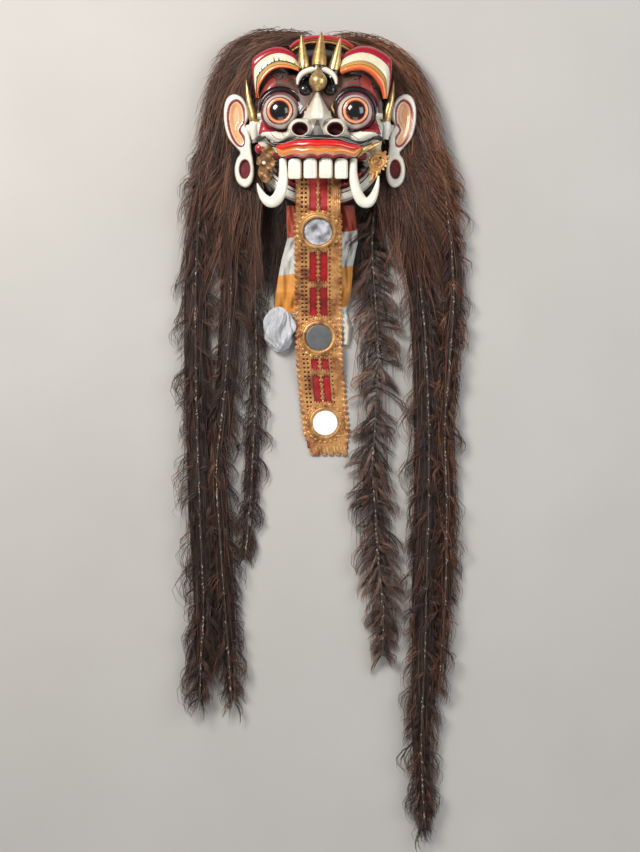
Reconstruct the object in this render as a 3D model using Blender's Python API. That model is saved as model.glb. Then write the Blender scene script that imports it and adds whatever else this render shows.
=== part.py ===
# A carved and painted wooden dance mask with bulging eyes, tusks, a long mirrored tongue and
# hair that reaches past the knees. It lies on its back, face up, as a loose mask is put down.
#
# Metres, +Z up. The crown points to +Y, the tongue and the hair run to -Y, and the face looks
# up to +Z. The carving is laid out on a grid whose units are shares of the mask's own size.

import math

import bmesh
import bpy
from mathutils import Matrix, Vector

GAP = 0.0003  # left between pieces that touch
CURVE_GAP = 0.0015  # left where a straight-sided edge follows the curved rim

# The carved mask
MASK_WIDTH = 0.280  # cheek to cheek, without the ears
MASK_HEIGHT = 0.360  # crown band to chin
MASK_DEPTH = 0.215  # back rim to the tip of the nose
MASK_WALL = 0.014
SKIN_GRAIN = 0.0018  # grain of the carved skin, which is then thinned to a share of its faces
SKIN_SHARE = 0.0095
CARVING_GRID = (280.0, 360.0, 215.0)
RIM_ROUNDNESS = 2.5  # exponent of the rim's superellipse
HEAD_SIDES = 44
BAND_FIRST = -45.0  # the hair band runs from here round the crown to the same place on the left
BAND_STATIONS = 34  # on the same angles as the sides of the rim
RIM_SHRINK = 0.001  # the carved skin stays this far inside the plain collar at the rim

# Ears, tusks, teeth and gilded spikes, each a piece of its own
EAR_LENGTH = 0.200
EAR_THICKNESS = 0.016
EAR_TILT = 0.16  # fall of the ear towards its outer edge
TOOTH_LENGTH = 0.042
TOOTH_WIDTH = 0.0285
TOOTH_THICKNESS = 0.013
TOOTH_PITCH = 0.0322
TUSK_THICKNESS = 0.0165
TUSK_CLEARANCES = {"tusk_left": 0.00145, "tusk_right": 0.00285}  # from the outer tooth to the tusk's root
SPIKE_LENGTH = 0.074
SPIKE_RADIUS = 0.0115
MIDDLE_SPIKE_RADIUS = 0.0155
HORN_RADIUS = 0.0082
DROP_RADIUS = 0.0187
ORNAMENT_THICKNESS = 0.003
ORNAMENT_WIDTH = 0.046

# Tongue: a gilded leather strip over a red cloth, with three framed mirrors
TONGUE_WIDTH = 0.103
TONGUE_SLOPE = math.radians(26.3)
LEATHER_THICKNESS = 0.0025
TONGUE_CLOTH_THICKNESS = 0.0015
TONGUE_CLOTH_WIDTH = 0.088
ROOT_RUN = 0.084  # along the jaw, from inside the mouth to the first bend
MIDDLE_RUN = 0.080  # flat on the scarf, under the second mirror
END_RUN = 0.128  # flat on the ground, under the third mirror
FIRST_BEND_RADIUS = 0.020
SECOND_BEND_RADIUS = 0.045
LAST_SLOPE = math.radians(10.0)
TONGUE_STATIONS = 36
WINDOW_WIDTH = 0.015
RIB_WIDTH = 0.006
MIRROR_RADII = (0.0310, 0.0285, 0.0275)
FRAME_RIM = 0.0150  # width of the gilded ring round each mirror
FRAME_HEIGHT = 0.0060
MIRROR_THICKNESS = 0.0020
MIRROR_SEAT = 0.0012  # depth of the recess that holds the glass, above the ring's back

# Scarf
SCARF_THICKNESS = 0.015
SCARF_LENGTH = 0.294
KNOT_HEIGHT = 0.036

# Hair
BAND_THICKNESS = 0.008
BAND_HEIGHT = 0.040
NAPE_HEIGHT = 0.014
NAPE_LENGTH = 0.176
CROWN_HEIGHT = 0.064
CROWN_SIDE_HEIGHT = 0.044
HAIR_LENGTH = 1.400  # from there to the tip of the longest lock
LOCK_HEIGHT = 0.040

UNIT = Vector((MASK_WIDTH / CARVING_GRID[0], MASK_HEIGHT / CARVING_GRID[1], MASK_DEPTH / CARVING_GRID[2]))
UP = Vector((0.0, 0.0, 1.0))
HEAD_RINGS = (  # height, half width, half height and centre of each outline of the head, in grid units
    (0, 134, 174, 0),
    (45, 134, 174, 0),
    (66, 131, 168, -2),
    (90, 124, 156, -8),
    (110, 112, 138, -14),
    (128, 96, 114, -18),
    (142, 72, 84, -20),
    (151, 40, 48, -20),
)
RIM_HALF_WIDTH = HEAD_RINGS[0][1] * UNIT.x
RIM_HALF_HEIGHT = HEAD_RINGS[0][2] * UNIT.y
HAIR_START = -(RIM_HALF_HEIGHT + BAND_THICKNESS + GAP) * math.sin(math.radians(-BAND_FIRST)) ** (2 / RIM_ROUNDNESS)
GUM_LEVEL = -86 * UNIT.y  # flat face that the teeth and the tusks hang from
JAW_LEVEL = 122 * UNIT.z  # flat face on the lower jaw, under the tongue
EAR_SEAT_X = 145 * UNIT.x
EAR_SEAT_Y = -12 * UNIT.y
EAR_BACK_Z = 56 * UNIT.z
HORN_SEAT = Vector((139 * UNIT.x, 0.0, 100 * UNIT.z))
FEATURE_SHIFT = -4 * UNIT.x  # the teeth and the drop sit this far to one side of the rim's middle
DROP_SEAT = Vector((FEATURE_SHIFT, 73 * UNIT.y, 155.5 * UNIT.z))
ORNAMENT_SEAT = Vector((121 * UNIT.x, -88 * UNIT.y, 125 * UNIT.z))


def at(x, y, z):
    return Vector((x * UNIT.x, y * UNIT.y, z * UNIT.z))


def clear_scene():
    for obj in list(bpy.data.objects):
        bpy.data.objects.remove(obj, do_unlink=True)


def material(name, colour, roughness, metallic=0.0):
    made = bpy.data.materials.new(name)
    made.use_nodes = True
    shader = made.node_tree.nodes["Principled BSDF"]
    shader.inputs["Base Color"].default_value = (*colour, 1.0)
    shader.inputs["Roughness"].default_value = roughness
    shader.inputs["Metallic"].default_value = metallic
    return made


# Shapes

def smooth_through(rows, steps):
    # Points of a Catmull-Rom curve through rows of numbers, steps to a span
    found = []
    last = len(rows) - 1
    for i in range(last):
        before, start, end, after = (rows[max(i - 1, 0)], rows[i], rows[i + 1], rows[min(i + 2, last)])
        for k in range(steps):
            t = k / steps
            found.append(tuple(
                0.5 * (2 * b + (c - a) * t + (2 * a - 5 * b + 4 * c - d) * t ** 2
                       + (3 * b - a - 3 * c + d) * t ** 3)
                for a, b, c, d in zip(before, start, end, after)
            ))
    return found + [tuple(rows[-1])]


def smooth_ring(points, steps):
    # The same for a closed outline
    count = len(points)
    wrapped = [points[(i - 1) % count] for i in range(count + 3)]
    return smooth_through(wrapped, steps)[steps:-steps - 1]


def loft(rings, closed=False, folded=False):
    # A closed body through rings of points. The ends are flat, or folded strips between the ring's
    # two halves, or left out where the rings run round.
    bm = bmesh.new()
    rows = [[bm.verts.new(point) for point in ring] for ring in rings]
    pairs = list(zip(rows, rows[1:])) + ([(rows[-1], rows[0])] if closed else [])
    for low, high in pairs:
        for i in range(len(low)):
            k = (i + 1) % len(low)
            bm.faces.new((low[i], low[k], high[k], high[i]))
    if folded:
        for row in (rows[0], rows[-1]):
            for i in range(len(row) // 2 - 1):
                bm.faces.new((row[i], row[i + 1], row[-2 - i], row[-1 - i]))
    elif not closed:
        bm.faces.new(reversed(rows[0]))
        bm.faces.new(rows[-1])
    bmesh.ops.recalc_face_normals(bm, faces=bm.faces)
    return bm


def swept(path, section, closed=False):
    # section(share of the length) gives (across, up) pairs round the path
    count = len(path)
    rings = []
    for i, point in enumerate(path):
        behind = path[(i - 1) % count] if closed else path[max(i - 1, 0)]
        ahead = path[(i + 1) % count] if closed else path[min(i + 1, count - 1)]
        along = (ahead - behind).normalized()
        across = UP.cross(along).normalized()
        above = along.cross(across)
        rings.append([point + across * a + above * b for a, b in section(i / (count - 1))])
    return loft(rings, closed)


def oval(across, up, sides):
    turn = 2 * math.pi / sides
    return [(across * math.cos(i * turn), up * math.sin(i * turn)) for i in range(sides)]


def tapered_tube(rows, steps=3, sides=8):
    # rows hold x, y, z, half width and half thickness, in grid units
    dense = smooth_through(rows, steps)
    path = [at(*row[:3]) for row in dense]
    scale = (UNIT.x + UNIT.y) / 2
    last = len(dense) - 1
    return swept(path, lambda t: oval(dense[round(t * last)][3] * scale,
                                      dense[round(t * last)][4] * UNIT.z, sides))


def turned(profile, sides):
    # profile holds radius and height pairs, from the bottom up
    turn = 2 * math.pi / sides
    return loft([[Vector((r * math.cos(i * turn), r * math.sin(i * turn), z)) for i in range(sides)]
                 for r, z in profile])


def ellipsoid(centre, radii, segments=18, rings=10):
    # centre and radii in grid units
    bm = bmesh.new()
    bmesh.ops.create_uvsphere(bm, u_segments=segments, v_segments=rings, radius=1.0)
    size = Matrix.Diagonal((radii[0] * UNIT.x, radii[1] * UNIT.y, radii[2] * UNIT.z, 1.0))
    bmesh.ops.transform(bm, matrix=Matrix.Translation(at(*centre)) @ size, verts=bm.verts)
    return bm


def block(low, high):
    bm = bmesh.new()
    bmesh.ops.create_cube(bm, size=1.0)
    low, high = Vector(low), Vector(high)
    size = high - low
    bmesh.ops.transform(bm, verts=bm.verts, matrix=(
        Matrix.Translation((low + high) / 2) @ Matrix.Diagonal((*size, 1.0))))
    return bm


def plate(outline, bottom, top):
    # A flat outline in X and Y, raised from bottom to top
    return loft([[Vector((x, y, z)) for x, y in outline] for z in (bottom, top)])


def mirrored(bm):
    bmesh.ops.scale(bm, vec=(-1.0, 1.0, 1.0), verts=bm.verts)
    bmesh.ops.recalc_face_normals(bm, faces=bm.faces)
    return bm


def placed(name, bm, finish=None, smooth_angle=35.0):
    mesh = bpy.data.meshes.new(name)
    bm.to_mesh(mesh)
    bm.free()
    obj = bpy.data.objects.new(name, mesh)
    bpy.context.scene.collection.objects.link(obj)
    if finish:
        mesh.materials.append(finish)
    mesh.shade_smooth()
    mesh.set_sharp_from_angle(angle=math.radians(smooth_angle))
    return obj


def helper(name, bm, collection):
    # A form that is carved into or out of another, and isn't a piece itself
    obj = placed(name, bm)
    bpy.context.scene.collection.objects.unlink(obj)
    collection.objects.link(obj)
    obj.hide_render = True
    obj.display_type = "WIRE"
    return obj


def hidden_collection(name):
    made = bpy.data.collections.new(name)
    bpy.context.scene.collection.children.link(made)
    return made


def carve(obj, collection, operation):
    cut = obj.modifiers.new(operation.lower(), "BOOLEAN")
    cut.operation = operation
    cut.solver = "EXACT"
    cut.operand_type = "COLLECTION"
    cut.collection = collection


# The head

def rim_outline(half_width, half_height, centre_y, count=HEAD_SIDES):
    # Points of the outline, on the sides of the head that start at the right end of the hair band
    power = 2.0 / RIM_ROUNDNESS
    points = []
    for i in range(count):
        angle = math.radians(BAND_FIRST + 360.0 * i / HEAD_SIDES)
        c, s = math.cos(angle), math.sin(angle)
        points.append((math.copysign(abs(c) ** power, c) * half_width,
                       math.copysign(abs(s) ** power, s) * half_height + centre_y))
    return points


def rim_y(x, grow):
    # Height of the rim's lower edge at x, grown outwards
    share = min(abs(x) / (RIM_HALF_WIDTH + grow), 1.0)
    return -(RIM_HALF_HEIGHT + grow) * (1 - share ** RIM_ROUNDNESS) ** (1 / RIM_ROUNDNESS)


def head_form(inset=0.0):
    rings = []
    for z, half_width, half_height, centre in HEAD_RINGS:
        height = z * UNIT.z - inset
        outline = rim_outline(half_width * UNIT.x - inset, half_height * UNIT.y - inset, centre * UNIT.y)
        rings.append([Vector((x, y, height)) for x, y in outline])
    return loft(rings)


def eye_forms():
    # Ball, stepped iris with a domed pupil, and the rolled lid round it
    centre = at(80, 13, 0)
    ball = ellipsoid((80, 13, 135), (39.5, 39.5, 40), 24, 12)
    iris = turned([(r * UNIT.x, z * UNIT.z) for r, z in (
        (27, 150), (28, 172), (27, 178), (24, 180), (19, 178), (17, 175), (15, 181), (9, 185), (3, 186))], 20)
    bmesh.ops.translate(iris, vec=centre, verts=iris.verts)
    ring = [at(80 + 42 * math.cos(a), 13 + 42 * math.sin(a), 138 + 4 * math.sin(a))
            for a in (2 * math.pi * i / 24 for i in range(24))]
    lid = swept(ring, lambda t: oval(6.5 * UNIT.x, 9 * UNIT.z, 8), closed=True)
    return ball, iris, lid


def brow_form():
    # The thick arched block over each eye: red edge, pale roll, stepped front
    rows = ((62, 84, 112, 0.78), (65, 116, 110, 0.90), (94, 138, 106, 1.0), (122, 118, 102, 0.80),
            (128, 84, 96, 0.55), (127, 50, 88, 0.45))
    dense = smooth_through(rows, 3)
    path = [at(*row[:3]) for row in dense]
    last = len(dense) - 1

    def section(t):
        width = dense[round(t * last)][3] * UNIT.x
        return [(20 * width, -26 * UNIT.z), (22 * width, -4 * UNIT.z), (17 * width, 4 * UNIT.z),
                (2 * width, 18 * UNIT.z), (-13 * width, 27 * UNIT.z), (-19 * width, 22 * UNIT.z),
                (-21 * width, -26 * UNIT.z)]
    return swept(path, section)


def eyelid_form():
    # The broad dark lid between the brow and the eye
    arc = [math.radians(4 + 172 * i / 12) for i in range(13)]
    path = [at(80 + 40 * math.cos(a), 14 + 68 * math.sin(a), 120 + 6 * math.sin(a)) for a in arc]
    return swept(path, lambda t: oval((9 + 6 * math.sin(math.pi * t)) * UNIT.x, 18 * UNIT.z, 8))


def nose_forms():
    bridge_rows = ((54, 154, 5), (38, 172, 12), (16, 192, 21), (-4, 209, 23), (-14, 203, 20))
    rings = []
    for y, top, half in bridge_rows:
        rings.append([at(-half, y, 110), at(-half, y, top - 26), at(-half * 0.45, y, top - 8), at(0, y, top),
                      at(half * 0.45, y, top - 8), at(half, y, top - 26), at(half, y, 110)])
    septum = loft([[at(-half, y, 130), at(-half, y, top - 8), at(0, y, top), at(half, y, top - 8),
                    at(half, y, 130)] for y, top, half in ((-8, 188, 10), (-26, 182, 13), (-45, 174, 16))])
    return loft(rings), septum


def lip_form():
    # The projecting upper jaw: a moustache line, a full red lip and the flat gum below it
    stations = (-93, -87, -70, -50, -25, 0, 25, 50, 70, 87, 93)
    rings = []
    for x in stations:
        share = abs(x) / 96
        front = 184 - 38 * share ** 2.2
        wave = 5 * math.cos(2.6 * math.pi * share) * (1 - share)
        tuck = 10 * share ** 6
        rings.append([at(x, y, z) for y, z in (
            (-91, 112), (-91, front - 5), (-79, front + 1 - tuck), (-66 + wave, front + 4 - tuck),
            (-56 + wave, front - tuck), (-52 + wave, front - 5), (-46 + wave, front - 3 - tuck),
            (-41 + wave, front - 10 - tuck), (-40 + wave, 112))])
    return loft(rings)


def jaw_form():
    # The lower jaw: a U that runs from one corner of the mouth round the chin to the other
    rows = ((-116, -84, 86, 13, 15), (-101, -118, 98, 14, 16), (-66, -147, 106, 16, 18),
            (0, -160, 108, 18, 20), (66, -147, 106, 16, 18), (101, -118, 98, 14, 16), (116, -84, 86, 13, 15))
    return tapered_tube(rows, 3, 10)


def forehead_forms():
    arch = [(x, 173 - 26 * (abs(x) / 62) ** 2, 80) for x in (-62, -45, -25, 0, 25, 45, 62)]
    crown = tapered_tube([(*point, 7, 13) for point in arch], 1, 8)
    roll_arc = [math.radians(8 + 164 * i / 12) for i in range(13)]
    roll = swept([at(46 * math.cos(a), 60 + 38 * math.sin(a), 132) for a in roll_arc],
                 lambda t: oval(8 * UNIT.x, 13 * UNIT.z, 8))
    return crown, roll


SPIKES = {  # foot in grid units, lean from upright in degrees, radius
    "spike_left": ((-33, 105, 135), 5.0, SPIKE_RADIUS),
    "spike_middle": ((-2.5, 110, 138), -4.5, MIDDLE_SPIKE_RADIUS),
    "spike_right": ((28.5, 101, 136), -12.0, SPIKE_RADIUS),
}


def spike_matrix(foot, lean):
    # A spike is turned along its own Z, which points to the crown
    return (Matrix.Translation(at(*foot)) @ Matrix.Rotation(math.radians(lean), 4, "Z")
            @ Matrix.Rotation(math.radians(-90), 4, "X"))


def build_mask(wood):
    # The carved forms are joined, made one skin and thinned. Seats and openings are cut after that.
    body = head_form()
    for vert in body.verts:
        if vert.co.z < HEAD_RINGS[1][0] * UNIT.z + GAP:
            vert.co.x -= math.copysign(RIM_SHRINK, vert.co.x)
            vert.co.y -= math.copysign(RIM_SHRINK, vert.co.y)
        if vert.co.z < UNIT.z:
            vert.co.z = -0.5 * MASK_WALL
    forms = []
    seats = hidden_collection("mask_seats")
    cuts = hidden_collection("mask_cuts")
    for side, flip in (("left", True), ("right", False)):
        carved = list(eye_forms()) + [
            brow_form(), eyelid_form(),
            ellipsoid((36, -26, 170), (24, 21, 27), 28, 16),
            ellipsoid((82, -35, 142), (27, 13, 22), 28, 14),
            ellipsoid((112, -30, 96), (27, 42, 40), 28, 16),
            ellipsoid((26, 57, 138), (13.5, 13.5, 15), 22, 12),
            ellipsoid((112, 40, 84), (24, 60, 34), 28, 16),
        ]
        forms += [mirrored(bm) for bm in carved] if flip else carved
        horn = turned([(10.5 * UNIT.x, 0.0), (10.5 * UNIT.x, 34 * UNIT.y)], 12)
        bmesh.ops.transform(horn, verts=horn.verts, matrix=(
            Matrix.Translation(HORN_SEAT) @ Matrix.Rotation(math.radians(90), 4, "X")))
        ear = block((100 * UNIT.x, EAR_SEAT_Y - 20 * UNIT.y, EAR_BACK_Z - 3 * UNIT.z),
                    (EAR_SEAT_X, EAR_SEAT_Y + 20 * UNIT.y, EAR_BACK_Z + 22 * UNIT.z))
        post = turned([(11 * UNIT.x, 60 * UNIT.z), (9 * UNIT.x, ORNAMENT_SEAT.z)], 12)
        bmesh.ops.translate(post, vec=(ORNAMENT_SEAT.x, ORNAMENT_SEAT.y, 0.0), verts=post.verts)
        for label, bm in (("horn_seat", horn), ("ear_seat", ear), ("ornament_seat", post)):
            helper(f"{label}_{side}", mirrored(bm) if flip else bm, seats)
        nostril = ellipsoid((35, -27, 199), (15, 12, 21), 14, 8)
        helper(f"nostril_{side}", mirrored(nostril) if flip else nostril, cuts)
    forms += list(nose_forms()) + list(forehead_forms()) + [lip_form(), jaw_form()]
    knob = turned([(13 * UNIT.x, 110 * UNIT.z), (13 * UNIT.x, DROP_SEAT.z)], 14)
    bmesh.ops.translate(knob, vec=(DROP_SEAT.x, DROP_SEAT.y, 0.0), verts=knob.verts)
    helper("drop_seat", knob, seats)
    rim = rim_outline(RIM_HALF_WIDTH, RIM_HALF_HEIGHT, 0.0)
    helper("rim_collar", plate(rim, -0.5 * MASK_WALL, (HEAD_RINGS[1][0] - 2) * UNIT.z), seats)
    for name, (foot, lean, radius) in SPIKES.items():
        socket = turned([(radius + 2 * UNIT.x, -20 * UNIT.y), (radius + 2 * UNIT.x, 0.0)], 12)
        bmesh.ops.transform(socket, matrix=spike_matrix(foot, lean), verts=socket.verts)
        helper(f"{name}_socket", socket, seats)
    for bm in forms:
        part = bpy.data.meshes.new("form")
        bm.to_mesh(part)
        bm.free()
        body.from_mesh(part)
        bpy.data.meshes.remove(part)
    mask = placed("mask", body, wood, 50.0)
    skin = mask.modifiers.new("one_skin", "REMESH")
    skin.mode = "VOXEL"
    skin.voxel_size = SKIN_GRAIN
    skin.use_smooth_shade = True
    thin = mask.modifiers.new("thinned", "DECIMATE")
    thin.ratio = SKIN_SHARE

    mouth = [(x * UNIT.x, y) for x, y in (
        (-99, GUM_LEVEL), (99, GUM_LEVEL), (97, -100 * UNIT.y), (66, -124 * UNIT.y), (40, -138 * UNIT.y),
        (-40, -138 * UNIT.y), (-66, -124 * UNIT.y), (-97, -100 * UNIT.y))]
    helper("mouth", plate(mouth, 20 * UNIT.z, 250 * UNIT.z), cuts)
    helper("tongue_seat", block(at(-60, -200, 122), at(60, -137.5, 160)), cuts)
    helper("underside", block(at(-200, -220, -40), at(200, 220, 0)), cuts)
    inside = head_form(MASK_WALL)
    for vert in inside.verts:
        if vert.co.z < 0:
            vert.co.z = -MASK_WALL
    helper("inside", inside, cuts)
    carve(mask, seats, "UNION")
    carve(mask, cuts, "DIFFERENCE")
    return mask


# Pieces fixed to the head

EAR_OUTLINE = (  # from the middle of the lug's face, in 200ths of the ear's length
    (37, 78), (54, 69), (61, 43), (59, 11), (50, -18), (34, -37), (25, -49), (33, -63), (37, -87),
    (31, -111), (15, -123), (1, -115), (-5, -93), (-3, -66), (1, -42), (2, -21), (7, 0), (13, 11), (7, 27),
    (9, 48), (19, 68),
)


def build_ear(side, flip, finish):
    share = EAR_LENGTH / 200
    outline = [(EAR_SEAT_X + GAP + x * share, EAR_SEAT_Y + y * share) for x, y in smooth_ring(EAR_OUTLINE, 2)]
    outline = [(max(x, EAR_SEAT_X + GAP - 5 * share), y) for x, y in outline]
    bm = plate(outline, EAR_BACK_Z, EAR_BACK_Z + EAR_THICKNESS)
    for vert in bm.verts:
        vert.co.z -= EAR_TILT * max(vert.co.x - EAR_SEAT_X, 0.0)
    if flip:
        mirrored(bm)
    ear = placed(f"ear_{side}", bm, finish)

    lugs = hidden_collection(f"ear_{side}_lug")
    cuts = hidden_collection(f"ear_{side}_cuts")
    lug = block((EAR_SEAT_X + GAP, EAR_SEAT_Y - 18 * share, EAR_BACK_Z),
                (EAR_SEAT_X + 22 * share, EAR_SEAT_Y + 16 * share, EAR_BACK_Z + 0.8 * EAR_THICKNESS))
    hole = turned([(12 * share, -0.02), (12 * share, 0.1)], 16)
    bmesh.ops.scale(hole, vec=(1.0, 1.75, 1.0), verts=hole.verts)
    bmesh.ops.translate(hole, vec=(EAR_SEAT_X + 15.4 * share, EAR_SEAT_Y - 84 * share, EAR_BACK_Z), verts=hole.verts)
    shell = bmesh.new()
    bmesh.ops.create_uvsphere(shell, u_segments=16, v_segments=8, radius=1.0)
    bmesh.ops.transform(shell, verts=shell.verts, matrix=(
        Matrix.Translation((EAR_SEAT_X + 34 * share, EAR_SEAT_Y + 18 * share, EAR_BACK_Z + 0.9 * EAR_THICKNESS))
        @ Matrix.Rotation(math.radians(-9), 4, "Z")
        @ Matrix.Diagonal((15 * share, 42 * share, 0.8 * EAR_THICKNESS, 1.0))))
    for label, form, collection in (("lug", lug, lugs), ("lobe_hole", hole, cuts), ("conch", shell, cuts)):
        helper(f"ear_{side}_{label}_form", mirrored(form) if flip else form, collection)
    carve(ear, lugs, "UNION")
    carve(ear, cuts, "DIFFERENCE")


def build_teeth(finish):
    for i in range(4):
        place = i - 1.5
        x = place * TOOTH_PITCH + FEATURE_SHIFT
        front = (184 - 38 * (abs(x) / (96 * UNIT.x)) ** 2.2 - 8) * UNIT.z
        bm = block((-TOOTH_WIDTH / 2, -TOOTH_LENGTH, -TOOTH_THICKNESS), (TOOTH_WIDTH / 2, 0.0, 0.0))
        corners = [edge for edge in bm.edges
                   if not all(abs(vert.co.y) < 1e-6 for vert in edge.verts)]
        bmesh.ops.bevel(bm, geom=corners, offset=0.2 * TOOTH_WIDTH, segments=2, profile=0.5,
                        affect="EDGES", clamp_overlap=True)
        tooth = placed(f"tooth_{i + 1}", bm, finish)
        tooth.location = (x, GUM_LEVEL - GAP, front)


TUSKS = {  # x, y, z, half width and half thickness in grid units, from the gum to the tip
    "tusk_left": ((-77, -92, 148, 9, 9), (-76.5, -112, 153, 9.2, 8), (-77.5, -136, 157, 10.2, 8),
                  (-83, -158, 160, 11.0, 8), (-92, -173, 160, 11.4, 8), (-104, -178, 160, 11.0, 7.5),
                  (-116, -169, 158, 8.8, 7), (-125, -153, 155, 5.2, 5), (-131, -136, 152, 1.4, 1.6)),
    "tusk_right": ((69.8, -92, 148, 8.4, 9), (69.2, -112, 153, 8.8, 8), (72, -138, 158, 9.8, 8),
                   (79, -161, 160, 10.6, 8), (89, -176, 160, 11.0, 8), (101, -178, 160, 10.6, 7.5),
                   (111, -165, 157, 8.6, 7), (118.5, -144, 154, 5.4, 5), (122.5, -121, 152, 1.6, 1.6)),
}


def build_tusks(finish):
    for name, rows in TUSKS.items():
        thicker = TUSK_THICKNESS / (16 * UNIT.z)
        side = math.copysign(1, rows[0][0])
        # The root keeps its clearance from the outer tooth
        inner = FEATURE_SHIFT + side * (1.5 * TOOTH_PITCH + 0.5 * TOOTH_WIDTH + TUSK_CLEARANCES[name])
        aside = inner / UNIT.x + side * rows[0][3] - rows[0][0]
        rows = [(x + aside, y, z, half, deep * thicker) for x, y, z, half, deep in rows]
        bm = tapered_tube(rows, 2, 8)
        # The root is cut square against the gum
        root = sorted(bm.verts, key=lambda vert: -vert.co.y)[:8]
        for vert in root:
            vert.co.y = GUM_LEVEL - GAP
        placed(name, bm, finish)


def build_spikes(gilt):
    for name, (foot, lean, radius) in SPIKES.items():
        profile = [(radius * r, GAP + SPIKE_LENGTH * z) for r, z in (
            (0.92, 0.0), (1.0, 0.05), (0.98, 0.14), (0.74, 0.38), (0.42, 0.68), (0.18, 0.88), (0.03, 1.0))]
        spike = placed(name, turned(profile, 10), gilt)
        spike.matrix_world = spike_matrix(foot, lean)


def build_horns(gilt):
    # Each stands on a round seat at the temple and curves outwards
    for side, sign in (("left", -1), ("right", 1)):
        rows = [(0.0, GAP / UNIT.y, 0.0, 1.0), (3, 16, 1, 1.0), (9, 36, 3, 0.82), (13, 58, 4, 0.55),
                (15.5, 76, 4, 0.28), (17, 88, 3, 0.05)]
        dense = smooth_through(rows, 2)
        path = [Vector((sign * (HORN_SEAT.x + x * UNIT.x), HORN_SEAT.y + y * UNIT.y, HORN_SEAT.z + z * UNIT.z))
                for x, y, z, r in dense]
        last = len(dense) - 1
        bm = swept(path, lambda t: oval(HORN_RADIUS * dense[round(t * last)][3],
                                        HORN_RADIUS * dense[round(t * last)][3], 10))
        lowest = sorted(bm.verts, key=lambda vert: vert.co.y)[:10]
        for vert in lowest:
            vert.co.y = HORN_SEAT.y + GAP
        placed(f"horn_{side}", bm, gilt)


def build_drop(gilt):
    # An onion-shaped drop with its back cut flat against the forehead
    profile = [(DROP_RADIUS * r, DROP_RADIUS * z) for r, z in (
        (0.10, -1.0), (0.55, -0.86), (0.88, -0.5), (1.0, 0.0), (0.90, 0.45), (0.62, 0.85), (0.34, 1.2),
        (0.14, 1.55), (0.03, 1.85))]
    bm = turned(profile, 16)
    centre = DROP_SEAT + Vector((0.0, 0.0, GAP + 0.62 * DROP_RADIUS))
    bmesh.ops.transform(bm, verts=bm.verts, matrix=(
        Matrix.Translation(centre) @ Matrix.Rotation(math.radians(-90), 4, "X")))
    drop = placed("forehead_drop", bm, gilt)
    cuts = hidden_collection("forehead_drop_cuts")
    reach = 4 * DROP_RADIUS
    helper("drop_back", block((-reach, DROP_SEAT.y - reach, DROP_SEAT.z - reach),
                              (reach, DROP_SEAT.y + reach, DROP_SEAT.z + GAP)), cuts)
    carve(drop, cuts, "DIFFERENCE")


def build_ornaments(gilt):
    # Cut leather sprays at the corners of the mouth: a toothed rosette with a curling tail
    for side, sign in (("left", -1), ("right", 1)):
        outline = []
        teeth = 12
        for i in range(4 * teeth):
            angle = 2 * math.pi * i / (4 * teeth)
            tooth = 1.0 if i % 4 in (1, 2) else 0.82
            tail = 0.85 * max(0.0, math.cos(angle + math.pi / 2 - 0.25)) ** 6
            radius = ORNAMENT_WIDTH / 2 * (tooth + tail)
            outline.append((ORNAMENT_SEAT.x + radius * math.cos(angle), ORNAMENT_SEAT.y + radius * math.sin(angle)))
        bottom = ORNAMENT_SEAT.z + GAP
        bm = plate(outline, bottom, bottom + ORNAMENT_THICKNESS)
        if sign < 0:
            mirrored(bm)
        ornament = placed(f"mouth_ornament_{side}", bm, gilt)
        cuts = hidden_collection(f"ornament_{side}_cuts")
        hole = turned([(0.16 * ORNAMENT_WIDTH, 0.0), (0.16 * ORNAMENT_WIDTH, 0.2)], 10)
        bmesh.ops.translate(hole, vec=(ORNAMENT_SEAT.x + 0.015, ORNAMENT_SEAT.y + 0.006, 0.05), verts=hole.verts)
        helper(f"ornament_{side}_hole", mirrored(hole) if sign < 0 else hole, cuts)
        carve(ornament, cuts, "DIFFERENCE")


# The tongue

TONGUE_DRIFT = ((0.0, -0.004), (0.30, -0.004), (0.42, -0.002), (0.52, 0.006), (0.62, 0.017), (0.80, 0.040))
ROOT_Y = -95 * UNIT.y


def tongue_legs():
    # Straight runs and bends as (length, turn), downwards positive
    drop = JAW_LEVEL - SCARF_THICKNESS
    bends = (FIRST_BEND_RADIUS + SECOND_BEND_RADIUS) * (1 - math.cos(TONGUE_SLOPE))
    slope_run = (drop - bends) / math.sin(TONGUE_SLOPE)
    last_bends = 2 * FIRST_BEND_RADIUS * (1 - math.cos(LAST_SLOPE))
    last_run = (SCARF_THICKNESS - last_bends) / math.sin(LAST_SLOPE)
    return (
        (ROOT_RUN, 0.0),
        (FIRST_BEND_RADIUS * TONGUE_SLOPE, TONGUE_SLOPE),
        (slope_run, 0.0),
        (SECOND_BEND_RADIUS * TONGUE_SLOPE, -TONGUE_SLOPE),
        (MIDDLE_RUN, 0.0),
        (FIRST_BEND_RADIUS * LAST_SLOPE, LAST_SLOPE),
        (last_run, 0.0),
        (FIRST_BEND_RADIUS * LAST_SLOPE, -LAST_SLOPE),
        (END_RUN, 0.0),
    )


def tongue_length():
    return sum(length for length, turn in tongue_legs())


def tongue_middle(distance):
    # Place and slope of the tongue's underside at a distance from its root
    y, z, slope, left = ROOT_Y, JAW_LEVEL + GAP, 0.0, distance
    for length, turn in tongue_legs():
        step = min(left, length)
        if turn and step > 0:
            part = turn * step / length
            radius = length / turn
            y -= radius * (math.sin(slope + part) - math.sin(slope))
            z -= radius * (math.cos(slope) - math.cos(slope + part))
            slope += part
        else:
            y -= step * math.cos(slope)
            z -= step * math.sin(slope)
        left -= step
        if left <= 0:
            break
    return y, z, slope


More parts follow.
